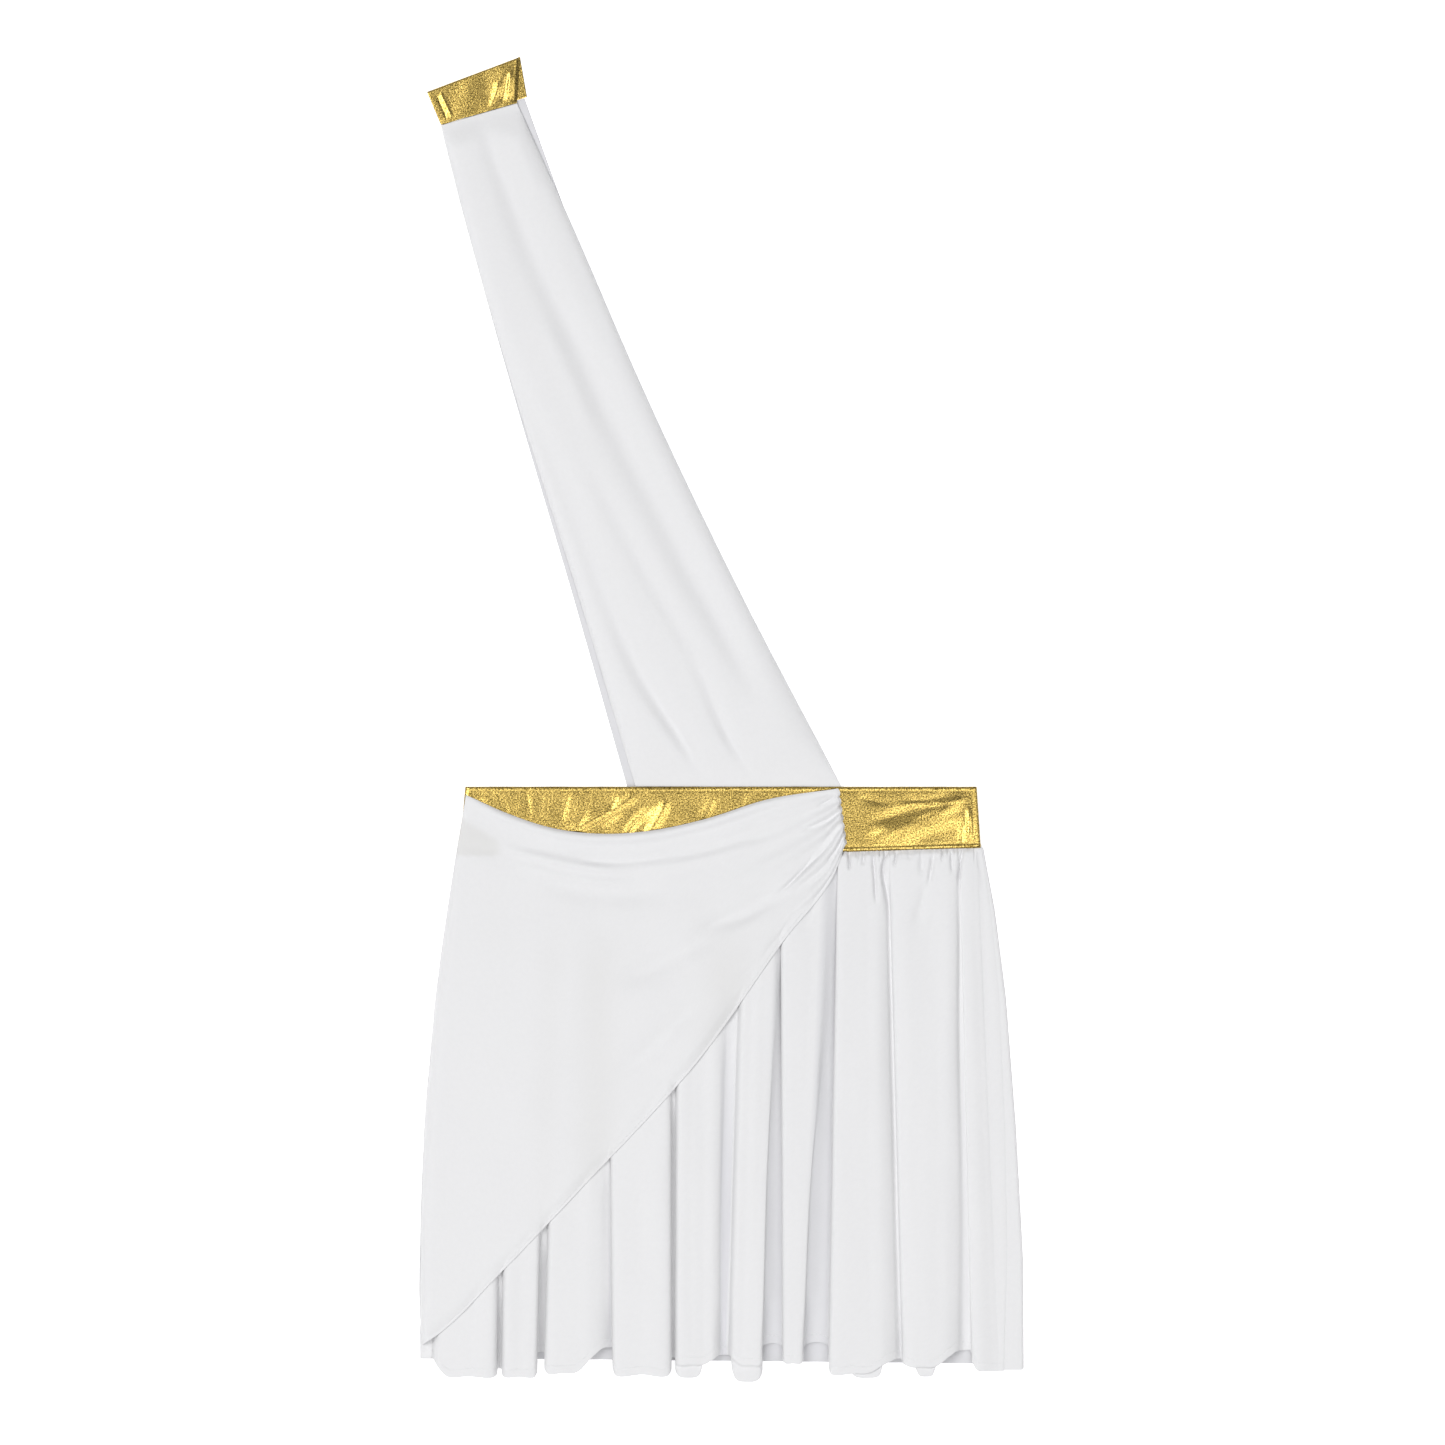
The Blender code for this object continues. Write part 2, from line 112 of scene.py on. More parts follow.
TUCK_DEPTH = 2.8
PUFF = 2.6  # how far the cloth stands up out of the gathered seam
LAP = 1.2  # how far the front panel's edge lies over the back panel's at the right side seam
UNDER_BAND = 2.5  # how far the skirt and the sash run in under the band

Side = namedtuple("Side", "below_band left right")
SIDES = table(
    Side,
    (0, -212, 209),
    (47, -219.2, 218.4),
    (111, -228, 227.2),
    (207, -236.8, 235.2),
    (303, -240.8, 240.8),
    (420, -241.6, 241.6),
)

# The profile of a side that slopes out: how far out it is, as a share of its reach, and how far up.
SlopePlace = namedtuple("SlopePlace", "out up")
SLOPE = [SlopePlace(1.0, 0.0), SlopePlace(0.75, 0.48), SlopePlace(0.4, 0.83)]

# One row for each fold of the front panel, within a few mm of the CAD source's: its edges at the waist
# and at the hem, its height, how far each edge is tucked under high up and low down (below zero where the
# side runs out instead), the edge of its hem, and the valley on its right, whose floor falls to its right.
Fold = namedtuple(
    "Fold",
    "left_waist right_waist left_hem right_hem height left_high left_low right_high right_low"
    " hem_y valley falls valley_hem_y",
)
FOLDS = table(
    Fold,
    (-201.6, -175.2, -225.6, -180, 11.5, -6, -6, 2, 3, -524.5, 1.5, 0, -519),
    (-172, -138.4, -175.6, -148, 12, 0.5, 0.5, 2, 2.5, -525, 1.5, 0, -506),
    (-130, -105.6, -141.6, -112, 11, 2, 2, -24, -24, -522, 4.5, 0, -502),
    (-91.2, -41, -87.2, -40.8, 12, 2, 2.5, 2, 3, -523, 2, 0, -510),
    (-36, -10, -37, -10, 11, 0.5, 0.5, -14, -9, -515.6, 5.6, 0, -508),
    (22.4, 42, 11, 32, 12, -6, -6, -3.5, 0.8, -516, 8.8, 6.6, -502),
    (47, 80.4, 48.8, 64.8, 11.5, 0.8, 0.8, -7, 0.6, -514.4, 8.6, 6.4, -502),
    (93, 120, 85.6, 122, 12, 1, 1, -16, -22, -522.5, 4.2, 0, -511),
    (134.6, 178, 145.6, 174.4, 9.8, -1, -1.2, -13, -18, -517.6, 3.8, 0, -504.5),
    (191, 203, 200.8, 220, 5.6, -1, -1, -1, -1, -521, 3.2, 0, -520.8),
)

# Painted shade in each valley between the front panel's folds, above and below: the cloth is painted greyer
# where shade falls between the folds.
ValleyShade = namedtuple("ValleyShade", "high low")
PAINTED_VALLEY_SHADE = table(
    ValleyShade, (0, 0), (0, 0), (0.3, 0.3), (0, 0), (0.1, 0.55), (0.1, 0.35), (0.25, 0.35), (0.2, 0.15),
    (0.1, 0.1),
)
PAINTED_BACK_SHADE = 0.4  # painted shade on the back panel, seen beyond the front one's hem, where it lies in the front panel's shade
PAINTED_SASH_SHADE = 0.35  # and painted shade on the back sash, where it lies in the front sash's shade

# Places where the inside of a fold hangs out below its hem.
Lobe = namedtuple("Lobe", "left right low_y")
LOBES = table(
    Lobe,
    (-37.6, -15.8, -526.4),
    (7.4, 32.6, -529.6),
    (104.5, 128, -526.4),
    (155.2, 170.2, -525.6),
)
LOBE_STEP = 1.4  # how far such a place lies under the hem
LOBE_ROWS = [0.04, 0.2, 0.4, 0.6, 0.8, 1.0]  # shares of its drop

# The front panel's columns lie this far apart from each x on.
COLUMN_STEPS = [(-300.0, 2.6), (-45.0, 1.3), (40.0, 2.2), (82.0, 0.9)]

# Drape
Point = namedtuple("Point", "x y")
DRAPE_UPPER = table(
    Point, (-204.8, -60.8), (-172.8, -75.2), (-132.8, -88), (-92.8, -92), (-52.8, -88.8), (-12.8, -80),
    (35.2, -64.8), (92.8, -55.6),
)
DRAPE_LOWER = table(
    Point, (-239.2, -500), (-226.4, -491.2), (-179.2, -444.8), (-108.8, -371.2), (-17.6, -271.2),
    (49.6, -176.8), (91.2, -120.8), (98.4, -98.4),
)
DRAPE_SEAM = table(
    Point, (-204.8, -60.8), (-214.4, -120.8), (-228, -216.8), (-236.8, -312.8), (-241.2, -408.8),
    (-241.6, -470), (-239.2, -500),
)
DRAPE_RISE = 12.4
DRAPE_OVER_BAND = 2.0 * BAND_WALL + SEAM + 0.4
DRAPE_OVER_SKIRT = FRONT_Z + WALL + SEAM
DRAPE_SETTLES = 40.0
DRAPE_CLEARS = JERSEY - IN_WALL + 0.15  # from the panel's inner face to the middle of the drape's CAD wall
EDGE_ROLL = 2.4  # how far the drape's upper edge stands up in a soft roll
PATCH_TOP_Y = -75.0  # at the left side seam, where the drape comes to lie tight on the band
PATCH_FALLS = 0.62  # for each mm to the right of the seam
BAND_SHOWS = 0.24  # how strongly the band shows through the drape there
PAINTED_DRAPE_VALLEY_SHADE = 0.12  # painted shade over the valleys between the folds, everywhere under it
DRAPE_HEM = 3.2  # from the free edges of the drape to their stitching
HIDDEN_FROM = 12.0  # up from the drape's free edge, where the panel under it begins to lie flatter
HIDDEN_OVER = 25.0  # the length over which it does

DrapeFold = namedtuple("DrapeFold", "at_gather at_end reach width_gather width_end height")
DRAPE_FOLDS = table(
    DrapeFold,
    (0.00, 0.00, 0.95, 0.045, 0.03, 1.4),
    (0.13, 0.08, 0.75, 0.050, 0.04, 2.2),
    (0.30, 0.22, 0.55, 0.060, 0.06, 2.8),
    (0.49, 0.36, 0.50, 0.065, 0.07, 3.2),
    (0.75, 0.60, 0.45, 0.065, 0.07, 3.2),
    (0.93, 0.84, 0.60, 0.055, 0.06, 2.8),
)

# Sashes
Level = namedtuple("Level", "left_x left_y right_x right_y")
SASH_FRONT = table(
    Level,
    (-224.8, 474.8, -164, 492.4),
    (-205.6, 399.2, -124, 403.2),
    (-164, 255.2, -59.6, 255.2),
    (-113.6, 95.2, 17.2, 95.2),
    (-69.1, -54, 95.6, -54),
)
SASH_BACK = table(
    Level,
    (-223.6, 474.8, -158, 496.6),
    (-205.6, 399.2, -122.4, 399.2),
    (-165.6, 255.2, -59.6, 255.2),
    (-118.4, 95.2, 17.2, 95.2),
    (-76, -54, 95.6, -54),
)
SASH_CROWN = 5.4
SASH_END = 0.07
SASH_EDGE_SINKS = 0.8  # to lie on the back sash
SASH_HEM = 3.0  # from its edges to their stitching

# Shoulder tab
TabEdge = namedtuple("TabEdge", "left_x left_y right_x right_y")
TAB_BACK = TabEdge(-223.6, 475.2, -156.0, 497.6)
TAB_FOLD = TabEdge(-236.0, 501.6, -161.6, 529.6)
TAB_FRONT = TabEdge(-224.8, 475.2, -164.0, 492.8)
TAB_TURN = 1.5
TAB_FOIL = 0.6

# A crease runs from (x1, y1) to (x2, y2). Its middle stands `bow` to the left of the straight way, its
# half width is `width`, and it is `depth` deep, or stands up where depth is below zero.
Crease = namedtuple("Crease", "x1 y1 x2 y2 bow width depth")
CREASE_FADE = 0.3  # the share of a crease's length over which each of its ends fades out
CREASE_STEPS = 10  # pieces between the places of a long crease
CURVE_STEPS = 12  # pieces between the rows of a table that a smooth edge goes through
DRAPE_CREASES = table(
    Crease,
    (-186.4, -98, -66, -122, -5, 3.6, -2.4),
    (-90, -122, 48, -92, -6, 4.2, -1.6),
    (-172, -112, -60, -133, -5, 4, -1.5),
    (40, -80.8, -53.6, -111.2, 5, 4, 2),
    (-36.8, -108.8, -121.6, -112.8, 4, 2, 1.3),
    (92.8, -85.6, 38.4, -144.8, 3.5, 2.4, 3.6),
    (54.4, -132, -25.6, -172, 3, 5.5, 3),
    (-153.6, -125.6, -33.6, -136.8, -8, 9, 2),
    (91.2, -111.2, -4.8, -170.4, 4, 5, 2.4),
    (6.4, -164, -93.6, -214.8, 3, 10, 3),
    (80, -128.8, -1.6, -224.8, 2, 6, 2.4),
    (-7.6, -214.8, -97.6, -296.8, 2, 9, 2),
    (94.4, -58.4, 75.2, -69.6, 1, 1.8, 2.2),
    (96.8, -73.6, 62.4, -88.8, 2, 2.4, 2),
    (98.4, -95.2, 83.2, -114.4, 1, 1.8, 1.8),
    (78.4, -74.4, 14.4, -101.6, 2, 4, 1.5),
    (-212.8, -101.6, -176, -106.4, 0, 4, 1.4),
)
SASH_CREASES = table(
    Crease,
    (-170, 475.2, -146, 415, 1, 7, -1.4),
    (-130, 392, -84, 282, 2, 9, 1),
    (-150, 330, -98, 214, 2, 8, -1),
    (48.4, -42.4, 92.4, -50.4, 0, 4, 1.4),
)

# One row for each place down a long crease: the middle of the crease, its half width and depth there.
Place = namedtuple("Place", "y x width depth")
SASH_LONG_CREASES = [
    table(
        Place, (480, -191, 7, 0.6), (462.4, -186.4, 8, 2.2), (421.6, -171, 10, 3.6),
        (352.8, -142, 12.5, 4.6), (292, -111.2, 13.5, 5), (231.2, -83.2, 14, 5.2), (178.4, -55.4, 14, 5.2),
        (129.6, -30.4, 14, 5.2), (85.6, -6.4, 13, 4.8), (45, 14, 10.5, 2.6), (12, 29, 8, 0),
    ),
    table(
        Place, (330, -188, 7, 0), (251.2, -156, 9, 2.2), (178.4, -124, 10, 2.6), (105.6, -96, 10, 3),
        (28.8, -61, 9, 4.4), (-20, -30.4, 7, 4.2), (-52, -14, 4.5, 2.6),
    ),
    table(
        Place, (50, -24, 6, 0), (20, -10, 7, 2.2), (-20, 8.4, 6, 3.2), (-52, 27, 4, 2.2),
    ),
    table(
        Place, (215, -113, 8, 0), (160.8, -84, 9, 1.6), (108.8, -55.6, 9, 2), (44, -18.4, 8, 1.2),
        (10, 0, 6, 0),
    ),
]
WAIST_LONG_CREASES = [
    table(
        Place, (-102.4, 134.4, 1.2, 2.6), (-112, 130, 1.4, 3.4), (-121, 128.6, 1.6, 3.6),
        (-135, 130.8, 2.2, 3.2), (-152, 134, 2.6, 1.6), (-172, 135, 2.6, 0),
    ),
]
WAIST_CREASES = table(
    Crease,
    (102.2, -103.6, 102, -122.2, 0, 1.2, 3.4),
    (113.3, -103.4, 112.8, -118, 0, 1.8, 2),
    (120, -102.4, 123.2, -150.8, 0.5, 1.6, 2.8),
    (140.8, -104.2, 136.8, -119, 0, 1, 2.6),
    (150.4, -103.4, 149.6, -113.4, 0, 1.2, 1.8),
    (160, -104.2, 159.2, -126.4, 0, 1.8, 2.2),
    (169.2, -104.2, 164.8, -134.8, 0.5, 1.3, 3.2),
    (183.2, -103.4, 184, -124.2, 0, 1.5, 2.2),
    (192.4, -101.8, 189.2, -134.8, -0.5, 1.4, 3.2),
    (145.4, -103.8, 144.4, -112.8, 0, 0.9, 1.5),
    (176.4, -103.8, 175.4, -114.8, 0, 0.9, 1.5),
    (107.4, -103.8, 107.4, -111.8, 0, 0.9, 1.5),
    (164.8, -127.2, 154.4, -168.8, 0, 4, 1.6),
    (75.2, -147.2, 62.4, -173.6, 0, 3, 1.4),
)
BAND_CREASES = table(
    Crease,
    (201, -61, 108, -98, 3, 6.5, -1.7),
    (202, -76, 128, -104, -3, 4.5, -0.9),
    (199.2, -63, 126.4, -68.6, 2, 1.8, -0.8),
    (196.8, -68.4, 197.6, -100.4, 1, 2, -1.2),
    (192, -80, 191, -102, 0, 2.5, 0.7),
    (188, -60, 112, -84, 2, 5, 0.8),
    (108, -62, 150, -70, -1, 2.5, 0.5),
    (-62.6, -56.2, -129.6, -94, 3, 3.6, -1.1),
    (-70.6, -64.6, -132, -97.2, 3, 3.5, 0.9),
    (-43.2, -62.6, -62.6, -95.2, 2, 3.6, -1.2),
    (-53.6, -68.6, -80, -95.2, -1, 3, 1.1),
    (-177.6, -54.8, -171.2, -78.2, 0, 2, 0.25),
    (-158.4, -54.8, -153.6, -84, 1, 2.2, 0.25),
    (-140.8, -54.8, -141.6, -86.8, 0, 2.6, 0.25),
    (-121.6, -54.8, -129.6, -85.2, 0, 2.4, 0.25),
    (-104, -54.8, -117.6, -90.4, 2, 2.8, 0.25),
    (-84, -54.8, -92, -80.2, 1, 2.4, 0.35),
    (-4.8, -59.6, -17.6, -84.4, 0, 4, 0.4),
    (30.4, -56.4, 16, -71.6, 0, 4, 0.3),
)
TAB_CREASES = table(
    Crease,
    (-229.5, 501.5, -219.5, 479, 0, 0.9, 0.5),
    (-226, 503, -215.5, 480, 0, 0.9, -0.5),
    (-178, 512, -186, 488, 1, 2, -0.5),
    (-172, 518, -177, 491, 1, 1.8, 0.5),
    (-168.5, 520, -171, 493, 0, 1.8, -0.7),
    (-160, 548, -164.5, 472, 0, 2.6, 2.1),
)


def mix(a, b, t):
    return a + (b - a) * t


def smooth(t):
    t = np.clip(t, 0.0, 1.0)
    return t * t * (3.0 - 2.0 * t)


def near(distance, reach):
    """1 at no distance, falling softly to 0 at `reach` and beyond."""
    return smooth(1.0 - distance / reach)


def soft_max(a, b, rounding):
    return 0.5 * (a + b + np.sqrt((a - b) ** 2 + rounding**2))


def bell(distance, width):
    return np.exp(-((distance / width) ** 2))


def spaced(*stretches):
    """Places along a line from stretches of (start, end, step), each start being the last end."""
    places = [stretches[0][0]]
    for start, end, step in stretches:
        count = max(1, round(abs(end - start) / step))
        places += list(np.linspace(start, end, count + 1)[1:])
    return np.array(places)


def through(points, steps):
    """Points on a smooth curve through the given ones, with steps[i] pieces in its i-th stretch."""
    points = np.array(points, float)
    lengths = np.maximum(np.linalg.norm(np.diff(points, axis=0), axis=1), 1e-6)[:, None]
    slopes = np.diff(points, axis=0) / lengths
    middle = (slopes[:-1] * lengths[1:] + slopes[1:] * lengths[:-1]) / (lengths[:-1] + lengths[1:])
    tangents = np.vstack([slopes[:1], middle, slopes[-1:]])
    curve = [points[:1]]
    for i, count in enumerate(steps):
        t = (np.arange(1, count + 1) / count)[:, None]
        start = points[i] * (2 * t**3 - 3 * t**2 + 1) + tangents[i] * lengths[i] * (t**3 - 2 * t**2 + t)
        end = points[i + 1] * (3 * t**2 - 2 * t**3) + tangents[i + 1] * lengths[i] * (t**3 - t**2)
        curve.append(start + end)
    return np.vstack(curve)


def lengths_along(points, axis=0):
    """How far each point is along a line of points, or along each line of a grid."""
    steps = np.linalg.norm(np.diff(points, axis=axis), axis=-1)
    return np.concatenate([np.zeros_like(steps.take([0], axis)), np.cumsum(steps, axis)], axis)


def along_edge(rows, shares):
    """Points at shares of the length of a smooth edge through a table's rows."""
    curve = through(rows, [CURVE_STEPS] * (len(rows) - 1))
    run = lengths_along(curve)
    places = np.asarray(shares) * run[-1]
    return np.stack([np.interp(places, run, curve[:, k]) for k in range(curve.shape[1])], axis=-1)


def rows_at(rows, shares):
    """A table's values, read smoothly at shares of the way down it."""
    curve = through(rows, [CURVE_STEPS] * (len(rows) - 1))
    places = np.linspace(0.0, 1.0, len(curve))
    return [np.interp(shares, places, curve[:, k]) for k in range(curve.shape[1])]


def relief(x, y, creases):
    """How deep creases lower the cloth at points of its plan."""
    total = np.zeros(np.shape(x))
    for crease in creases:
        way = np.array([crease.x2 - crease.x1, crease.y2 - crease.y1])
        length = np.hypot(*way)
        dx, dy = x - crease.x1, y - crease.y1
        t = (dx * way[0] + dy * way[1]) / length**2
        side = (dy * way[0] - dx * way[1]) / length - crease.bow * 4.0 * t * (1.0 - t)
        fade = smooth(t / CREASE_FADE) * smooth((1.0 - t) / CREASE_FADE)
        total += crease.depth * fade * bell(side, crease.width)
    return total


def long_relief(x, y, creases):
    """How deep creases that run down the cloth through several places lower it at points of its plan."""
    total = np.zeros(np.shape(x))
    for places in creases:
        down, middle, width, depth = through(places, [CREASE_STEPS] * (len(places) - 1))[::-1].T
        inside = (y >= down[0]) & (y <= down[-1])
        away = (x - np.interp(y, down, middle)) / np.interp(y, down, width)
        total += np.interp(y, down, depth) * np.exp(-(away**2)) * inside
    return total


def unevenness(x, y, size, height, seed):
    """A soft uneven surface with swells about `size` wide, up to `height` up or down."""
    flat = [
        noise.noise(Vector((a / size, b / size, seed))) for a, b in zip(np.ravel(x), np.ravel(y))
    ]
    return np.reshape(flat, np.shape(x)) * height


def side_at(below_band):
    """The skirt's left and right outline at a distance below the band."""
    levels = [side.below_band for side in SIDES]
    return (
        np.interp(below_band, levels, [side.left for side in SIDES]),
        np.interp(below_band, levels, [side.right for side in SIDES]),
    )


def band_low_y(x):
    rise = (x - BAND_RISE_FROM_X) / (BAND_RIGHT_LOW_X - BAND_RISE_FROM_X)
    return BAND_LOW_Y + BAND_LOW_RISE * np.clip(rise, 0.0, 1.0)


def rise_at(below_band):
    """The share of its height that a fold has at a distance below the band."""
    above = RISE_AT_WAIST * np.maximum(0.0, 1.0 + below_band / (BAND_TOP_Y - BAND_LOW_Y))
    growing = mix(RISE_AT_WAIST, 1.0, smooth(0.5 + 0.5 * below_band / RISE_LENGTH) * 2.0 - 1.0)
    return np.where(below_band < 0.0, above, growing)


def sloping(tuck):
    """1 where the side of a fold slopes out, 0 where it is steep or tucked in."""
    return float(smooth((-tuck - LEAST_SLOPE) / LEAST_SLOPE))


# One side of a fold: its edge, which way the fold lies from there, its own tuck and the one across the
# valley, the valley's width, the floor and hem there, and how far the floor bends up to the side.
Flank = namedtuple("Flank", "edge inward tuck across room floor hem bend")


def fold_side(fold, flank, width, rise):
    """Stations up one side of a fold, from the valley floor to its flat top.

    A side that slopes out runs down as far as its tuck says, if the side across the valley leaves the
    room. Between a slope and a steep side, the stations of the two are mixed.
    """
    height = fold.height * rise
    edge, inward, room = flank.edge, flank.inward, flank.room
    floor = valley_floor(fold, flank.floor, room, rise)
    shoulder = min(mix(SOFT_SHOULDER, SHARP_SHOULDER, smooth(flank.tuck + 0.5)), width * SHOULDER_SHARE)
    share = mix(1.0, flank.tuck / (flank.tuck + flank.across + 0.1), sloping(flank.across))
    reach = min(-flank.tuck, room * share - SLOPE_STOPS)
    sloped = [
        (edge - inward * reach * p.out, mix(floor, height, p.up), mix(flank.hem, fold.hem_y, p.up**6))
        for p in SLOPE
    ]
    slope = min(SOFT_SLOPE, room * SLOPE_SHARE)
    steepest = max(TUCK_PER_HEIGHT * (height - floor - LOWEST_TUCKED), -slope)
    least = max(flank.tuck, -room * OVERHANG_SHARE)
    tuck = min(mix(-slope, least, smooth((rise - RISE_AT_WAIST) / 0.2)), steepest)
    bend = min(flank.bend, room * 0.2 + max(tuck, 0.0) * 0.7)
    foot = floor + min(bend, (height - floor) * FOOT_HEIGHT)
    side = mix(floor, height, FLANK_HEIGHT)
    steep = [
        (edge + inward * (tuck - bend), floor, flank.hem),
        (edge + inward * tuck, foot, mix(flank.hem, fold.hem_y, FOOT_HEIGHT)),
        (edge + inward * min(tuck, 0.0) * FLANK_REACH, side, mix(flank.hem, fold.hem_y, FLANK_HEIGHT)),
    ]
    stations = mix(np.array(steep), np.array(sloped), sloping(flank.tuck))
    top = (edge + inward * shoulder, height * SHOULDER_HEIGHT, fold.hem_y)
    return [tuple(row) for row in stations] + [top]


def valley_floor(fold, valley, room, rise):
    """The height of a valley's floor beside a fold: narrow valleys don't reach down to the back panel."""
    shallow = fold.height * rise * 0.8
    return mix(shallow, valley * rise, smooth(room / OPEN_VALLEY + rise * 0.3))


def fold_stations(down):
    """The front panel's cross-section at a share of the way down: x, height and hem of each station."""
    below = down * SKIRT_DEPTH
    rise = float(rise_at(below))
    side_left, side_right = side_at(below)
    seam_x = side_right - mix(WRAP_AT_WAIST, WRAP_AT_HEM, down)
    low = smooth((down - HIGH_PART) / (LOW_PART - HIGH_PART))
    edges = [(mix(f.left_waist, f.left_hem, down), mix(f.right_waist, f.right_hem, down)) for f in FOLDS]
    next_lefts = [left for left, right in edges[1:]] + [seam_x]
    left_tucks = [mix(f.left_high, f.left_low, low) for f in FOLDS] + [0.0]
    right_tucks = [mix(f.right_high, f.right_low, low) for f in FOLDS]
    sunk = mix(FLOOR_AT_HEM, 1.0, smooth((1.0 - down) / HEM_SHARE))
    stations = [(side_left, 0.0, BACK_HEM_LEFT_Y)]
    floor, hem, before, tuck_before, bend = 0.0, BACK_HEM_LEFT_Y, side_left, 0.0, BEND
    for i, (fold, (left, right), after) in enumerate(zip(FOLDS, edges, next_lefts)):
        bend_before = mix(bend, BEND_AT_SLOPE, sloping(tuck_before))
        bend = BEND_AT_SLOPE if fold.falls else BEND
        bend_after = mix(bend, BEND_AT_SLOPE, sloping(left_tucks[i + 1]))
        up = Flank(left, 1, left_tucks[i], tuck_before, left - before, floor, hem, bend_before)
        floor, hem = fold.valley * sunk, fold.valley_hem_y
        back = Flank(right, -1, right_tucks[i], left_tucks[i + 1], after - right, floor, hem, bend_after)
        stations += fold_side(fold, up, right - left, rise)
        stations.append(((left + right) / 2, fold.height * rise, fold.hem_y))
        stations += fold_side(fold, back, right - left, rise)[::-1]
        floor -= fold.falls * sunk
        before, tuck_before = right, right_tucks[i]
    stations[-1] = (seam_x, FOLDS[-1].valley * rise, WRAP_HEM_Y)
    return stations


def front_valley_shade(x, below):
    """Painted shade on the front panel's open valleys: the cloth is painted greyer where shade falls between
    the folds.
    """
    down = np.clip(below / SKIRT_DEPTH, 0.0, 1.0)
    total = np.zeros(np.shape(x))
    # Each valley's row gives its painted shade, high up and low down.
    for fold, after, thin in zip(FOLDS, FOLDS[1:], PAINTED_VALLEY_SHADE):
        right = mix(fold.right_waist, fold.right_hem, down) + 0.8 * max(-fold.right_low, 0.0)
        left = mix(after.left_waist, after.left_hem, down) - max(-after.left_low, 0.0)
        inside = smooth((x - right) / 2.5) * smooth((left - x) / 1.5)
        total += inside * mix(thin.high, thin.low, smooth((down - HIGH_PART) / (LOW_PART - HIGH_PART)))
    return total


def lobe_drop(x, hem_y):
    """How far the inside of a fold hangs out below its hem, round at both corners."""
    drop = np.full(np.shape(x), 0.5)
    for lobe in LOBES:
        across = np.clip(2.0 * (x - lobe.left) / (lobe.right - lobe.left) - 1.0, -1.0, 1.0)
        drop = np.maximum(drop, (hem_y - lobe.low_y) * (1.0 - across**4) ** 0.5)
    return drop


def inside_drape(x, y):
    """How far a place is up from the free edge of the drape; below zero beyond it."""
    edge = along_edge(DRAPE_LOWER, np.linspace(0.0, 1.0, 60))
    return y - np.interp(x, edge[:, 0], edge[:, 1])


def hidden(x, y):
    """1 where the drape covers the front panel, which lies flatter there, 0 where the panel shows."""
    return smooth((inside_drape(x, y) - HIDDEN_FROM) / HIDDEN_OVER)


def seam_tucks(x, below):
    """How deep the small tucks of a gathered seam are, uneven in their length and their spacing."""
    level = np.zeros(np.shape(x))
    wander = unevenness(x, level, 9.0, 1.6, 37.0)
    reach = TUCK_REACH * (0.8 + unevenness(x, level, 5.0, 1.0, 41.0))
    away = np.abs(np.sin(math.pi * (x + wander) / TUCK_STEP))
    return TUCK_DEPTH * (1.0 - away) ** 1.5 * near(below, np.maximum(reach, 1.5))


def strip_top(rise):
    """The height of the back panel's strip that comes round the right side."""
    return 2.0 * mix(WRAP_TURN, WRAP_TURN_AT_HEM, rise) - IN_WALL


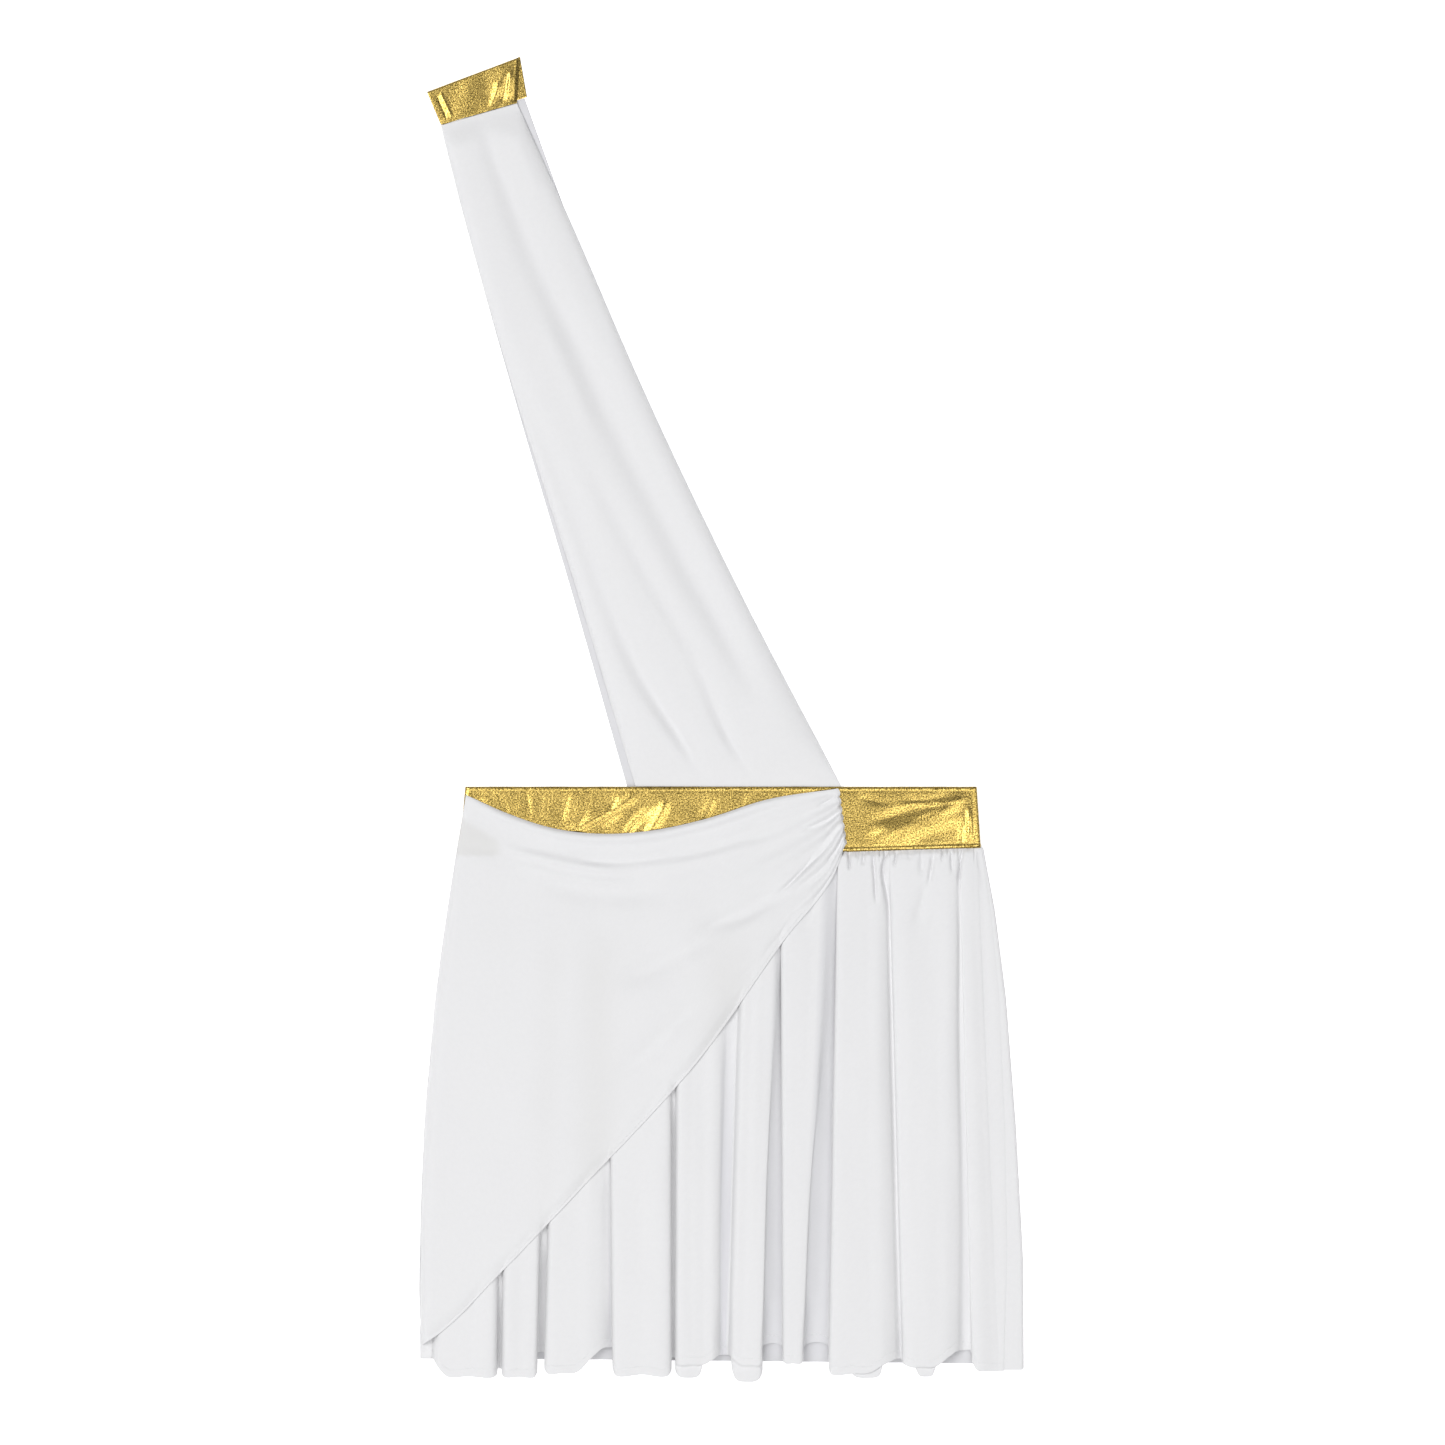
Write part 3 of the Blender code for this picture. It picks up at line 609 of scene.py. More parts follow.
def skirt_front_points():
    """The front panel from under the band to its hem, then the rows that hang out below the hem."""
    upper = spaced((0.0, 20.0, 0.9), (20.0, 60.0, 2.2), (60.0, SKIRT_DEPTH, 7.5)) / SKIRT_DEPTH
    hem_rows = spaced((HEM_DEPTH + 1.5, HEM_DEPTH - 1.5, 0.6), (HEM_DEPTH - 1.5, 0.0, 1.1))
    stations = np.array(fold_stations(1.0))
    gaps = np.linalg.norm(np.diff(stations[:, :2], axis=0), axis=1)
    middles = (stations[1:, 0] + stations[:-1, 0]) / 2
    sizes = [[step for start, step in COLUMN_STEPS if x > start][-1] for x in middles]
    steps = [max(2, math.ceil(gap / size)) for gap, size in zip(gaps, sizes)]
    grid = []
    for share in upper:
        x, z, hem = through(fold_stations(share), steps).T
        top = band_low_y(x) + UNDER_BAND
        grid.append(np.stack([x, mix(top, hem + hem_rows[0], share), z, hem], axis=-1))
    x, z, hem = through(fold_stations(1.0), steps).T
    for distance in hem_rows[1:]:
        grid.append(np.stack([x, hem + distance, z, hem], axis=-1))
    drop = lobe_drop(x, hem)
    step = LOBE_STEP * smooth((drop - 0.5) / 2.0)
    for share in LOBE_ROWS:
        grid.append(np.stack([x, hem - drop * share, np.maximum(z - step, 0.2), hem], axis=-1))
    x, y, z, hem = np.moveaxis(np.array(grid), -1, 0)
    z = np.maximum(z, 0.0)

    # The gathers under the band, the folds' ends at the hem, and the folds flatter under the drape.
    below = band_low_y(x) - y
    above_hem = y - hem
    covered = hidden(x, y)
    puffs = PUFF * smooth(below / 5.0) * near(below, 70.0)
    creases = relief(x, y, WAIST_CREASES) + long_relief(x, y, WAIST_LONG_CREASES)
    waist = puffs - creases - seam_tucks(x, np.maximum(below, 0.0))
    z = np.maximum(z * (1.0 - 0.5 * covered) + waist * (1.0 - covered), -0.6)
    z -= 0.8 * near(z, 1.5) * near(above_hem, 35.0)
    by_drape = smooth(1.0 + inside_drape(x, y) / 35.0) * (1.0 - covered)
    z += 0.5 * by_drape * np.maximum(9.0 * rise_at(below) - z, 0.0)
    z -= 0.25 * bell(above_hem - HEM_DEPTH, 0.5) * (above_hem > -0.1)
    z += unevenness(x, y * 0.35, 22.0, 0.9, 1.0) * smooth(below / 60.0) * smooth(z / 6.0)
    z -= 0.55 * near(below, 1.5)
    z -= 0.9 * near(x - side_at(np.maximum(below, 0.0))[0], 5.0)
    z = FRONT_Z + IN_WALL + z

    # The right edge, flush with the back panel's strip at their seam.
    from_seam = x[:, -1:] - x
    on_strip = strip_top(rise_at(below)) + mix(-0.44, -0.25, smooth((below - 80.0) / 100.0))
    last_left = mix(FOLDS[-1].left_waist, FOLDS[-1].left_hem, np.clip(below / SKIRT_DEPTH, 0.0, 1.0))
    flush = np.maximum((x - last_left - 2.0) / 21.0, 1.0 - (from_seam - 1.5) / 7.0)
    z = mix(z, on_strip, smooth(flush) * smooth(below / 3.0))
    x = x + LAP * near(from_seam, 3.0)
    return np.stack([x, y, z], axis=-1)


def drape_floor(x, y):
    """The height at which the drape lies on the band and on the folds."""
    below = band_low_y(x) - y
    left = side_at(np.maximum(below, 0.0))[0]
    first_fold = mix(FOLDS[0].left_waist, FOLDS[0].left_hem, np.maximum(below, 0.0) / SKIRT_DEPTH)
    up_the_side = 1.0 - (1.0 - np.clip((x - left) / (first_fold - left), 0.0, 1.0)) ** 8
    base = mix(DRAPE_OVER_BAND, DRAPE_OVER_SKIRT, smooth(below / DRAPE_SETTLES))
    return base + up_the_side * DRAPE_RISE * rise_at(below)


def fold_crests(x, y):
    """1 over the folds that lie under the drape, 0 over the valleys between them."""
    below = np.maximum(band_low_y(x) - y, 0.0)
    down = below / SKIRT_DEPTH
    valleys = np.zeros(np.shape(x))
    for fold, after in zip(FOLDS, FOLDS[1:]):
        right = mix(fold.right_waist, fold.right_hem, down)
        left = mix(after.left_waist, after.left_hem, down)
        middle, half = (left + right) / 2, np.maximum((left - right) / 2, 3.0) + 6.0
        valleys = np.maximum(valleys, bell(x - middle, half) * smooth((left - right - 4.0) / 8.0))
    return 1.0 - valleys


def top_under(sheet, x, y):
    """The top of a sheet under points of the plan, spread a little to its sides and smoothed."""
    fine = np.linspace(0.0, sheet.shape[1] - 1.001, sheet.shape[1] * 8)
    whole = fine.astype(int)
    dense = mix(sheet[:, whole], sheet[:, whole + 1], (fine - whole)[None, :, None])
    left = dense[..., 0].min()
    place = np.round(dense[..., 0] - left).astype(int)
    row = np.broadcast_to(np.arange(len(sheet))[:, None], place.shape)
    top, level = np.zeros((len(sheet), place.max() + 1)), np.zeros((len(sheet), place.max() + 1))
    np.maximum.at(top, (row, place), dense[..., 2])
    level[row, place] = -dense[..., 1]
    for shift in (1, -1, 1):
        top = np.maximum(top, np.roll(top, shift, axis=1))
        level = np.where(level > 0.0, level, np.roll(level, shift, axis=1))
    top = (np.roll(top, 1, axis=1) + top + np.roll(top, -1, axis=1)) / 3
    levels = np.arange(-BAND_LOW_Y, level.max(), 2.0)
    tops = np.array([np.interp(levels, level[:, i], top[:, i]) for i in range(top.shape[1])])
    across = np.clip(x - left, 0.0, len(tops) - 1.001)
    down = np.clip((-y - levels[0]) / 2.0, 0.0, len(levels) - 1.001)
    i, j = across.astype(int), down.astype(int)
    upper = mix(tops[i, j], tops[i + 1, j], across - i)
    return mix(upper, mix(tops[i, j + 1], tops[i + 1, j + 1], across - i), down - j)


def drape_points(skirt):
    """The drape's inner face, lying on the band and on the folds of the skirt's front panel."""
    columns, rows = 250, 176
    u = np.interp(
        np.arange(columns + 1) / columns,
        [0.0, 0.04, 0.60, 0.96, 1.0],
        [0.0, 0.012, 0.72, 0.994, 1.0],
    )
    v = np.interp(np.arange(rows + 1) / rows, [0.0, 0.06, 0.94, 1.0], [0.0, 0.022, 0.978, 1.0])
    upper, lower, seam = along_edge(DRAPE_UPPER, u), along_edge(DRAPE_LOWER, u), along_edge(DRAPE_SEAM, v)
    straight = mix(np.array(DRAPE_UPPER[0]), np.array(DRAPE_LOWER[0]), v[:, None])
    across = u[None, :, None]
    place = mix(upper[None], lower[None], v[:, None, None]) + (seam - straight)[:, None] * (1.0 - across)
    x, y = place[..., 0], place[..., 1]
    u, v = np.broadcast_to(u[None, :], x.shape), np.broadcast_to(v[:, None], x.shape)

    lift = np.zeros(x.shape)
    for fold in DRAPE_FOLDS:
        away = np.clip((1.0 - u) / fold.reach, 0.0, 1.0)
        middle = mix(fold.at_gather, fold.at_end, away)
        width = mix(fold.width_gather, fold.width_end, away)
        lift += fold.height * (1.0 - smooth(away)) * bell(v - middle, width)
    from_upper = np.linalg.norm(place - upper[None], axis=-1)
    roll = EDGE_ROLL * bell(from_upper - 4.2, 3.8) * smooth(u / 0.12) * smooth((1.0 - u) / 0.2)
    z = drape_floor(x, y) + lift + roll
    z -= relief(x, y, DRAPE_CREASES)
    from_lower = np.linalg.norm(place - lower[None], axis=-1)
    dip = mix(0.9, 2.2, near(from_lower, 30.0))
    z += dip * (fold_crests(x, y) - 1.0) * smooth((band_low_y(x) - y) / 90.0)
    z += unevenness(x, y, 45.0, 1.4, 5.0)

    # The free edge sinks, and the whole is then raised to lie on the band and on the panel.
    below = band_low_y(x) - y
    z -= 2.0 * near(from_lower, 12.0) * smooth(below / 40.0)
    sinks = np.maximum(np.maximum(hidden(x, y), 1.0 - fold_crests(x, y)), near(from_lower, 16.0))
    z = soft_max(z, drape_floor(x, y) - 0.3 - 6.0 * sinks * rise_at(below) * smooth(below / 10.0), 0.8) - 0.1
    z = soft_max(z, top_under(skirt, x, y) + DRAPE_CLEARS, 0.3)

    from_gather = np.linalg.norm(place - place[:, -1:], axis=-1)
    from_seam = np.linalg.norm(place - place[:, :1], axis=-1)
    z += 0.15 * bell(from_lower - 0.8, 0.9) - 0.12 * bell(from_lower - DRAPE_HEM, 0.7)
    z -= 1.0 * near(from_upper, 3.0) ** 2
    z -= (z - DRAPE_OVER_BAND + 0.2) * near(from_gather, 4.0) ** 2
    z -= 1.3 * near(from_seam, 6.0)
    x = x + 1.2 * np.abs(np.sin(v * math.pi * 6.5)) * near(from_gather, 6.0)
    return np.stack([x, y, z + IN_WALL], axis=-1)


def drape_show_through_and_shade(points):
    """How strongly the band's corner is seen through the drape, with painted shade added over the valleys
    between the folds under it.
    """
    x, y = points[..., 0], points[..., 1]
    on_band = smooth((y - BAND_LOW_Y + 5.0) / 2.4) * smooth((-174.0 - x) / 9.0)
    taut = smooth((PATCH_TOP_Y - y - PATCH_FALLS * (x - BAND_LEFT_LOW_X)) / 7.0)
    valleys = (1.0 - fold_crests(x, y)) * smooth((-150.0 - y) / 60.0)
    return BAND_SHOWS * on_band * taut + PAINTED_DRAPE_VALLEY_SHADE * valleys


def sash_points(rows, columns, lengths, end):
    """A sash's plan: columns across it, lengths down it, its waist end run on to y = end."""
    u = np.linspace(0.0, 1.0, columns + 1)
    v = np.concatenate([np.linspace(0.0, 1.0, lengths + 1), [1.0]])
    left_x, left_y, right_x, right_y = rows_at(rows, v)
    x = mix(left_x[:, None], right_x[:, None], u[None])
    y = mix(left_y[:, None], right_y[:, None], u[None])
    y[-1] = end
    return x, y, np.broadcast_to(u[None], x.shape), np.broadcast_to(v[:, None], x.shape)


def sash_front_points():
    x, y, u, v = sash_points(SASH_FRONT, columns=110, lengths=330, end=BAND_TOP_Y - UNDER_BAND)
    across = 1.0 - (2.0 * u - 1.0) ** 10
    ends = smooth(v / SASH_END) * smooth((1.0 - v) / SASH_END)
    stand = SASH_CROWN + unevenness(x, y * 0.5, 30.0, 0.5, 9.0)
    creases = relief(x, y, SASH_CREASES) + long_relief(x, y, SASH_LONG_CREASES)
    z = across * ends * soft_max(stand - creases, 0.15, 0.6)
    z -= SASH_EDGE_SINKS * (1.0 - across) * smooth(v / 0.03) * smooth((1.0 - v) / 0.03)
    z -= 0.25 * bell(y - BAND_TOP_Y - 3.0, 0.7)
    z -= 0.4 * (y < BAND_TOP_Y + 0.1)
    return np.stack([x, y, WALL + SEAM + IN_WALL + z], axis=-1)


def sash_back_points():
    x, y, _, v = sash_points(SASH_BACK, columns=60, lengths=200, end=SASH_BACK[-1].left_y)
    z = 0.2 + 0.35 * unevenness(x, y * 0.4, 18.0, 2.0, 13.0)
    return np.stack([x, y, np.clip(z, 0.0, 0.45) * smooth(v / 0.02) * smooth((1.0 - v) / 0.02)], axis=-1)


def band_points(columns, rows, underside):
    """A waistband panel's plan, its height and how far each point is from its long edges."""
    u, v = np.meshgrid(np.linspace(0.0, 1.0, columns + 1), np.linspace(0.0, 1.0, rows + 1))
    v = np.interp(v, [0.0, 0.12, 0.88, 1.0], [0.0, 0.05, 0.95, 1.0])
    x = mix(mix(BAND_LEFT_TOP_X, BAND_LEFT_LOW_X, v), mix(BAND_RIGHT_TOP_X, BAND_RIGHT_LOW_X, v), u)
    y = mix(BAND_TOP_Y, band_low_y(x), v)
    from_top, from_low = BAND_TOP_Y - y, y - band_low_y(x)
    from_ends = np.minimum(x - x[:, :1], x[:, -1:] - x)
    return x, y, np.full(x.shape, underside), from_top, from_low, from_ends


def band_front_points():
    x, y, z, from_top, from_low, from_ends = band_points(columns=430, rows=52, underside=BAND_WALL + SEAM)
    edges = smooth(from_top / 2.0) * smooth(from_low / 1.5)
    z = z + 0.15 + edges * (0.6 - relief(x, y, BAND_CREASES))
    near_top = smooth(from_top / 3.0) * near(from_top, 22.0)
    pucker = unevenness(x * 2.4, y * 0.7, 14.0, 0.14, 17.0) * near_top
    z += edges * (unevenness(x, y, 24.0, 0.7, 21.0) + pucker)
    z += 0.35 * bell(from_low - 1.2, 0.8) - 0.3 * bell(from_low - 3.0, 0.8)
    z += 0.2 * bell(from_top - 1.4, 0.8) - 0.2 * bell(from_top - 3.0, 0.8)
    z -= 0.9 * near(from_ends, 3.0) ** 2
    return np.stack([x, y, z], axis=-1)


def band_back_points():
    x, y, z, from_top, from_low, from_ends = band_points(columns=240, rows=24, underside=0.0)
    edges = smooth(from_top / 2.0) * smooth(from_low / 2.0) * smooth(from_ends / 2.0)
    z = edges * np.clip(0.12 + unevenness(x * 2.0, y * 0.5, 14.0, 0.5, 25.0), 0.0, 0.3)
    return np.stack([x, y, z], axis=-1)


def turned(rim, inner, radius, count):
    """Points round the turn of a strip that runs from inner out to rim, turns up and comes back."""
    outward = (rim - inner) / np.linalg.norm(rim - inner)
    angle = np.pi * np.arange(count + 1)[:, None] / count - np.pi / 2
    return np.hstack([rim + outward * radius * (np.cos(angle) - 1.0), radius + radius * np.sin(angle)])


def straight(start, end, z, count):
    """Points on a straight run between two plan points, without its start."""
    shares = np.arange(1, count + 1)[:, None] / count
    return np.hstack([mix(start, end, shares), np.full((count, 1), z)])


def tab_points():
    """The tab's outer face: up its back, round the fold and down its front, in columns across it."""
    columns = []
    for u in np.linspace(0.0, 1.0, 101):
        back, fold, front = [
            mix(np.array(edge[:2]), np.array(edge[2:]), u) for edge in (TAB_BACK, TAB_FOLD, TAB_FRONT)
        ]
        bend = turned(fold, back, TAB_TURN, 12)
        start = np.vstack([[*back, 0.0], straight(back, bend[0, :2], 0.0, 24)[:-1]])
        end = straight(bend[-1, :2], front, 2.0 * TAB_TURN, 48)
        columns.append(np.vstack([start, bend, end])[::-1])
    x, y, z = np.moveaxis(np.array(columns), -1, 0)
    x, y, z = x.T, y.T, z.T
    front = smooth((z - TAB_TURN) / TAB_TURN)
    rolled = unevenness(x, y, 14.0, 0.35, 29.0) - relief(x, y, TAB_CREASES)
    z = z + front * rolled * smooth((np.hypot(x - x[:1], y - y[:1])) / 3.0)
    return np.stack([x, y, z], axis=-1)


def skirt_back_points():
    """The back panel's outer face: flat below, then round the right side to its seam."""
    upper = spaced((0.0, 40.0, 2.0), (40.0, SKIRT_DEPTH, 5.5)) / SKIRT_DEPTH
    grid = []
    for down in upper:
        below = down * SKIRT_DEPTH
        side_left, side_right = side_at(below)
        radius = mix(WRAP_TURN, WRAP_TURN_AT_HEM, rise_at(below))
        rim, inner = np.array([side_right, 0.0]), np.array([side_left, 0.0])
        bend = turned(rim, inner, radius, 14)
        seam_x = side_right - mix(WRAP_AT_WAIST, WRAP_AT_HEM, down) + SEAM_ALONG
        flat = np.vstack([[side_left, 0.0, 0.0], straight(inner, bend[0, :2], 0.0, 190)[:-1]])
        strip = straight(bend[-1, :2], np.array([seam_x, 0.0]), 2.0 * radius, 12)
        bend[:, 2] -= IN_WALL * bend[:, 2] / (2.0 * radius)
        strip[:, 2] -= IN_WALL
        x, _, z = np.vstack([flat, bend, strip]).T
        share = (x - side_left) / (side_right - side_left)
        flat_hem = mix(BACK_HEM_LEFT_Y, BACK_HEM_RIGHT_Y, share)
        hem_y = mix(flat_hem, WRAP_HEM_Y, z / (2.0 * radius))
        y = mix(band_low_y(x) - SEAM_ALONG, hem_y, down)
        under = near(z, radius)
        wave = np.clip(unevenness(x, y * 0.15, 14.0, 1.0, 33.0), 0.0, 0.3)
        grid.append(np.stack([x, y, z + under * wave * smooth(down * 20.0)], axis=-1))
    return np.array(grid)


def put(name, data):
    """Puts an object in the scene for a mesh, a lamp or a camera."""
    held = bpy.data.objects.new(name, data)
    bpy.context.scene.collection.objects.link(held)
    return held


def piece_from(name, form, material):
    """Makes a bmesh a piece of the scene in one material."""
    mesh = bpy.data.meshes.new(name)
    form.to_mesh(mesh)
    form.free()
    mesh.materials.append(material)
    return put(name, mesh)


def cloth(name, node, points, wall, material, under=0.0, painted_shade=0.0):
    """A sheet of cloth on a grid of points (rows, columns, xyz in mm), thickened off that face.

    `under` is how strongly what lies under the cloth is seen through it at each point, with painted shade
    over the valleys under the drape added in, and the last argument how much painted shade greys the cloth
    there.
    """
    rows, columns = points.shape[0] - 1, points.shape[1] - 1
    run_x, run_y = lengths_along(points, axis=1), lengths_along(points)
    sheet = bmesh.new()
    bmesh.ops.create_grid(sheet, x_segments=columns, y_segments=rows, size=0.5)
    layer = sheet.loops.layers.uv.new("cloth")
    show_and_shade_layer, painted_shade_layer = sheet.verts.layers.float.new("under"), sheet.verts.layers.float.new("painted_shade")
    under, painted_shade = np.broadcast_to(under, points.shape[:2]), np.broadcast_to(painted_shade, points.shape[:2])
    places = {}
    for vert in sheet.verts:
        i = round((vert.co.x + 0.5) * columns)
        j = round((0.5 - vert.co.y) * rows)
        places[vert.index] = (run_x[j, i] * MM, -run_y[j, i] * MM)
        vert[show_and_shade_layer], vert[painted_shade_layer] = under[j, i], painted_shade[j, i]
        vert.co = Vector(points[j, i]) * MM
    for face in sheet.faces:
        face.smooth = True
        for loop in face.loops:
            loop[layer].uv = places[loop.vert.index]
    piece = piece_from(name, sheet, material)
    thicken = piece.modifiers.new("wall", "SOLIDIFY")
    thicken.thickness = wall * MM
    thicken.offset = 1.0
    shade = piece.modifiers.new("shade", "WEIGHTED_NORMAL")
    shade.weight = 100
    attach(piece, "root")
    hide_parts(node)
    return piece


def outer_face(points, wall):
    """The outer face of a sheet on a grid of points."""
    normal = np.cross(np.gradient(points, axis=1), -np.gradient(points, axis=0))
    return points + normal / np.maximum(np.linalg.norm(normal, axis=-1, keepdims=True), 1e-9) * wall


def inset(grid, distance):
    """The line on a grid that lies a distance in from its last row."""
    line = []
    for column in np.moveaxis(grid[::-1], 1, 0):
        run = lengths_along(column)
        line.append([np.interp(distance, run, column[:, k]) for k in range(3)])
    return np.array(line)


STITCH = 2.6
STITCH_GAP = 0.9
THREAD = 0.45  # mm across the thread, coarser than the real 0.3 so that it shows
THREAD_LIES = 0.6  # how flat a stitch is pulled, as a share of its width


def sew(name, lines, material):
    """Runs of stitches along lines of points, each a small rounded bar of thread pulled into the cloth."""
    bar = bmesh.new()
    bmesh.ops.create_uvsphere(bar, u_segments=6, v_segments=4, radius=0.5)
    stitch = bpy.data.meshes.new("stitch")
    bar.to_mesh(stitch)
    bar.free()
    thread = bmesh.new()
    for line in lines:
        run = lengths_along(line)
        for start in np.arange(STITCH, run[-1] - STITCH, STITCH + STITCH_GAP):
            first, last = [
                Vector([np.interp(place, run, line[:, k]) for k in range(3)])
                for place in (start, start + STITCH)
            ]
            way = last - first
            lie = Matrix.Diagonal((way.length * MM, THREAD * MM, THREAD * THREAD_LIES * MM, 1.0))
            turn = way.to_track_quat("X", "Z").to_matrix().to_4x4()
            matrix = Matrix.Translation((first + last) / 2 * MM) @ turn @ lie
            stitch.transform(matrix)
            thread.from_mesh(stitch)
            stitch.transform(matrix.inverted())
    bpy.data.meshes.remove(stitch)
    for face in thread.faces:
        face.smooth = True
    piece = piece_from(name, thread, material)
    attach(piece, "root")


def linear(hex_colour):
    """An sRGB hex colour as linear RGBA."""
    parts = [int(hex_colour[i : i + 2], 16) / 255 for i in (0, 2, 4)]
    return (*[c / 12.92 if c <= 0.04045 else ((c + 0.055) / 1.055) ** 2.4 for c in parts], 1.0)


def fill(tree, node, values=None, links=None):
    """Sets a node's constant sockets and links the others."""
    for name, value in (values or {}).items():
        node.inputs[name].default_value = value
    for name, source in (links or {}).items():
        tree.links.new(source, node.inputs[name])


def add(material, kind, settings=None, values=None, links=None, stops=()):
    """Adds a node to a material, with its settings, socket values, links and colour stops."""
    node = material.node_tree.nodes.new(kind)
    for name, value in (settings or {}).items():
        setattr(node, name, value)
    fill(material.node_tree, node, values, links)
    for element, (place, colour) in zip(node.color_ramp.elements if stops else (), stops):
        element.position = place
        element.color = linear(colour)
    return node


def new_material(name):
    material = bpy.data.materials.new(name)
    material.use_nodes = True
    return material, material.node_tree.nodes["Principled BSDF"]


WALES = 0.9  # mm from one wale of loops to the next, a little coarser than the real 0.6
COURSES = 0.7  # mm from one course to the next
MOTTLE = 1000.0 / 260.0  # mm across a paler or darker patch of the knit
WAVE_PERIOD = math.tau / 20.0  # what a wave texture of scale 1 repeats over


def white_jersey():
    """White polyester jersey: a fine smooth knit, matt with a faint bloom.

    It is painted greyer with painted shade in the valleys between the folds and on pieces that lie in shade,
    and the gold band is seen through it, with painted shade over the valleys under the drape in the same
    colour.
    """
    material, shader = new_material("white_polyester_jersey")
    uv = add(material, "ShaderNodeUVMap", {"uv_map": "cloth"}).outputs["UV"]
    loops = []
    for way, size in (("X", WALES), ("Y", COURSES)):
        bands = {"wave_type": "BANDS", "bands_direction": way, "wave_profile": "SIN"}
        sizes = {"Scale": WAVE_PERIOD / (size * MM), "Distortion": 0.6, "Detail": 1.0, "Detail Scale": 2.0}
        loops.append(add(material, "ShaderNodeTexWave", bands, sizes, {"Vector": uv}).outputs["Fac"])
    knit = add(material, "ShaderNodeMath", {"operation": "MULTIPLY"}, links=dict(enumerate(loops))).outputs[0]
    patches = {"Scale": 1.0 / (MOTTLE * MM), "Detail": 3.0, "Roughness": 0.6}
    mottle = add(material, "ShaderNodeTexNoise", values=patches, links={"Vector": uv}).outputs["Fac"]
    whites = [(0.3, "DCDCDD"), (0.7, "DEDEDF")]
    tone = add(material, "ShaderNodeValToRGB", links={"Fac": mottle}, stops=whites).outputs["Color"]
    # Painted shade: the first attribute greys the tone where shade falls; the second lets the band be seen
    # through and paints shade over the valleys under the drape.
    for attribute, colour in (("painted_shade", "BABAC0"), ("under", "BDBBB4")):
        show_through_and_shade = add(material, "ShaderNodeAttribute", {"attribute_name": attribute}).outputs["Fac"]
        blend = {"Factor": show_through_and_shade, "A": tone}
        mixed = add(material, "ShaderNodeMix", {"data_type": "RGBA"}, {"B": linear(colour)}, blend)
        tone = mixed.outputs["Result"]
    relief_of_knit = {"Strength": 0.25, "Distance": 0.2 * MM}
    bump = add(material, "ShaderNodeBump", values=relief_of_knit, links={"Height": knit}).outputs["Normal"]
    finish = {"Roughness": 0.85, "Sheen Weight": 0.12, "Sheen Roughness": 0.5, "IOR": 1.45}
    fill(material.node_tree, shader, finish, {"Base Color": tone, "Normal": bump})
    return material


TWIST = 0.5  # mm from one turn of the thread's two plies to the next


def white_thread():
    """White polyester sewing thread: two plies twisted, with a little more gloss than the jersey."""
    material, shader = new_material("white_polyester_thread")
    where = add(material, "ShaderNodeTexCoord").outputs["Object"]
    bands = {"wave_type": "BANDS", "bands_direction": "DIAGONAL", "wave_profile": "SIN"}
    turns = {"Scale": WAVE_PERIOD / (TWIST * MM)}
    plies = add(material, "ShaderNodeTexWave", bands, turns, {"Vector": where}).outputs["Fac"]
    whites = [(0.2, "D6D6D8"), (0.8, "E4E4E6")]
    tone = add(material, "ShaderNodeValToRGB", links={"Fac": plies}, stops=whites).outputs["Color"]
    grooves = {"Strength": 0.5, "Distance": 0.1 * MM}
    bump = add(material, "ShaderNodeBump", values=grooves, links={"Height": plies}).outputs["Normal"]
    fill(material.node_tree, shader, {"Roughness": 0.5}, {"Base Color": tone, "Normal": bump})
    return material


GRAIN = 1.2  # mm across a glint of the foil, coarser than the real 0.5 so that the glitter shows


def gold_foil():
    """Gold foil on jersey: a metal film cracked by the knit under it, so it glitters in fine grains, which
    the bump gives as real relief and the colour as painted glitter.
    """
    material, shader = new_material("gold_foil_on_jersey")
    uv = add(material, "ShaderNodeUVMap", {"uv_map": "cloth"}).outputs["UV"]
    glints = {"Scale": 1.0 / (GRAIN * MM), "Detail": 2.0, "Roughness": 0.6}
    grains = add(material, "ShaderNodeTexNoise", values=glints, links={"Vector": uv}).outputs["Fac"]
    # The dark and pale grains of the colour are painted glitter; the bump gives the same grains their real
    # relief.
    painted_glitter_golds = [(0.38, "725E26"), (0.62, "E0C270")]
    tone = add(material, "ShaderNodeValToRGB", links={"Fac": grains}, stops=painted_glitter_golds).outputs["Color"]
    cracks = {"Strength": 0.8, "Distance": 0.16 * MM}
    bump = add(material, "ShaderNodeBump", values=cracks, links={"Height": grains}).outputs["Normal"]
    finish = {"Metallic": 1.0, "Roughness": 0.26}
    fill(material.node_tree, shader, finish, {"Base Color": tone, "Normal": bump})
    return material


def lit_table():
    """A white acrylic table lit from below, which takes the shadows off what lies on it."""
    material, shader = new_material("white_acrylic_light_table")
    where = add(material, "ShaderNodeTexCoord").outputs["Object"]
    fine = {"Scale": 900.0, "Detail": 2.0}
    tooth = add(material, "ShaderNodeTexNoise", values=fine, links={"Vector": where}).outputs["Fac"]
    whites = [(0.3, "FBFBFB"), (0.7, "FFFFFF")]
    tone = add(material, "ShaderNodeValToRGB", links={"Fac": tooth}, stops=whites).outputs["Color"]
    lit = {"Roughness": 0.9, "Emission Color": linear("FFFFFF"), "Emission Strength": 0.5}
    fill(material.node_tree, shader, lit, {"Base Color": tone})
    return material


FLOOR_HALF = 4.0  # m from its middle to its edge
FLOOR_BELOW = 0.3  # mm under the garment, so that the two don't fight for one level


def make_floor():
    sheet = bmesh.new()
    bmesh.ops.create_grid(sheet, x_segments=8, y_segments=8, size=FLOOR_HALF)
    bmesh.ops.translate(sheet, verts=sheet.verts, vec=(0.0, 0.0, -FLOOR_BELOW * MM))
    floor = piece_from("floor", sheet, lit_table())


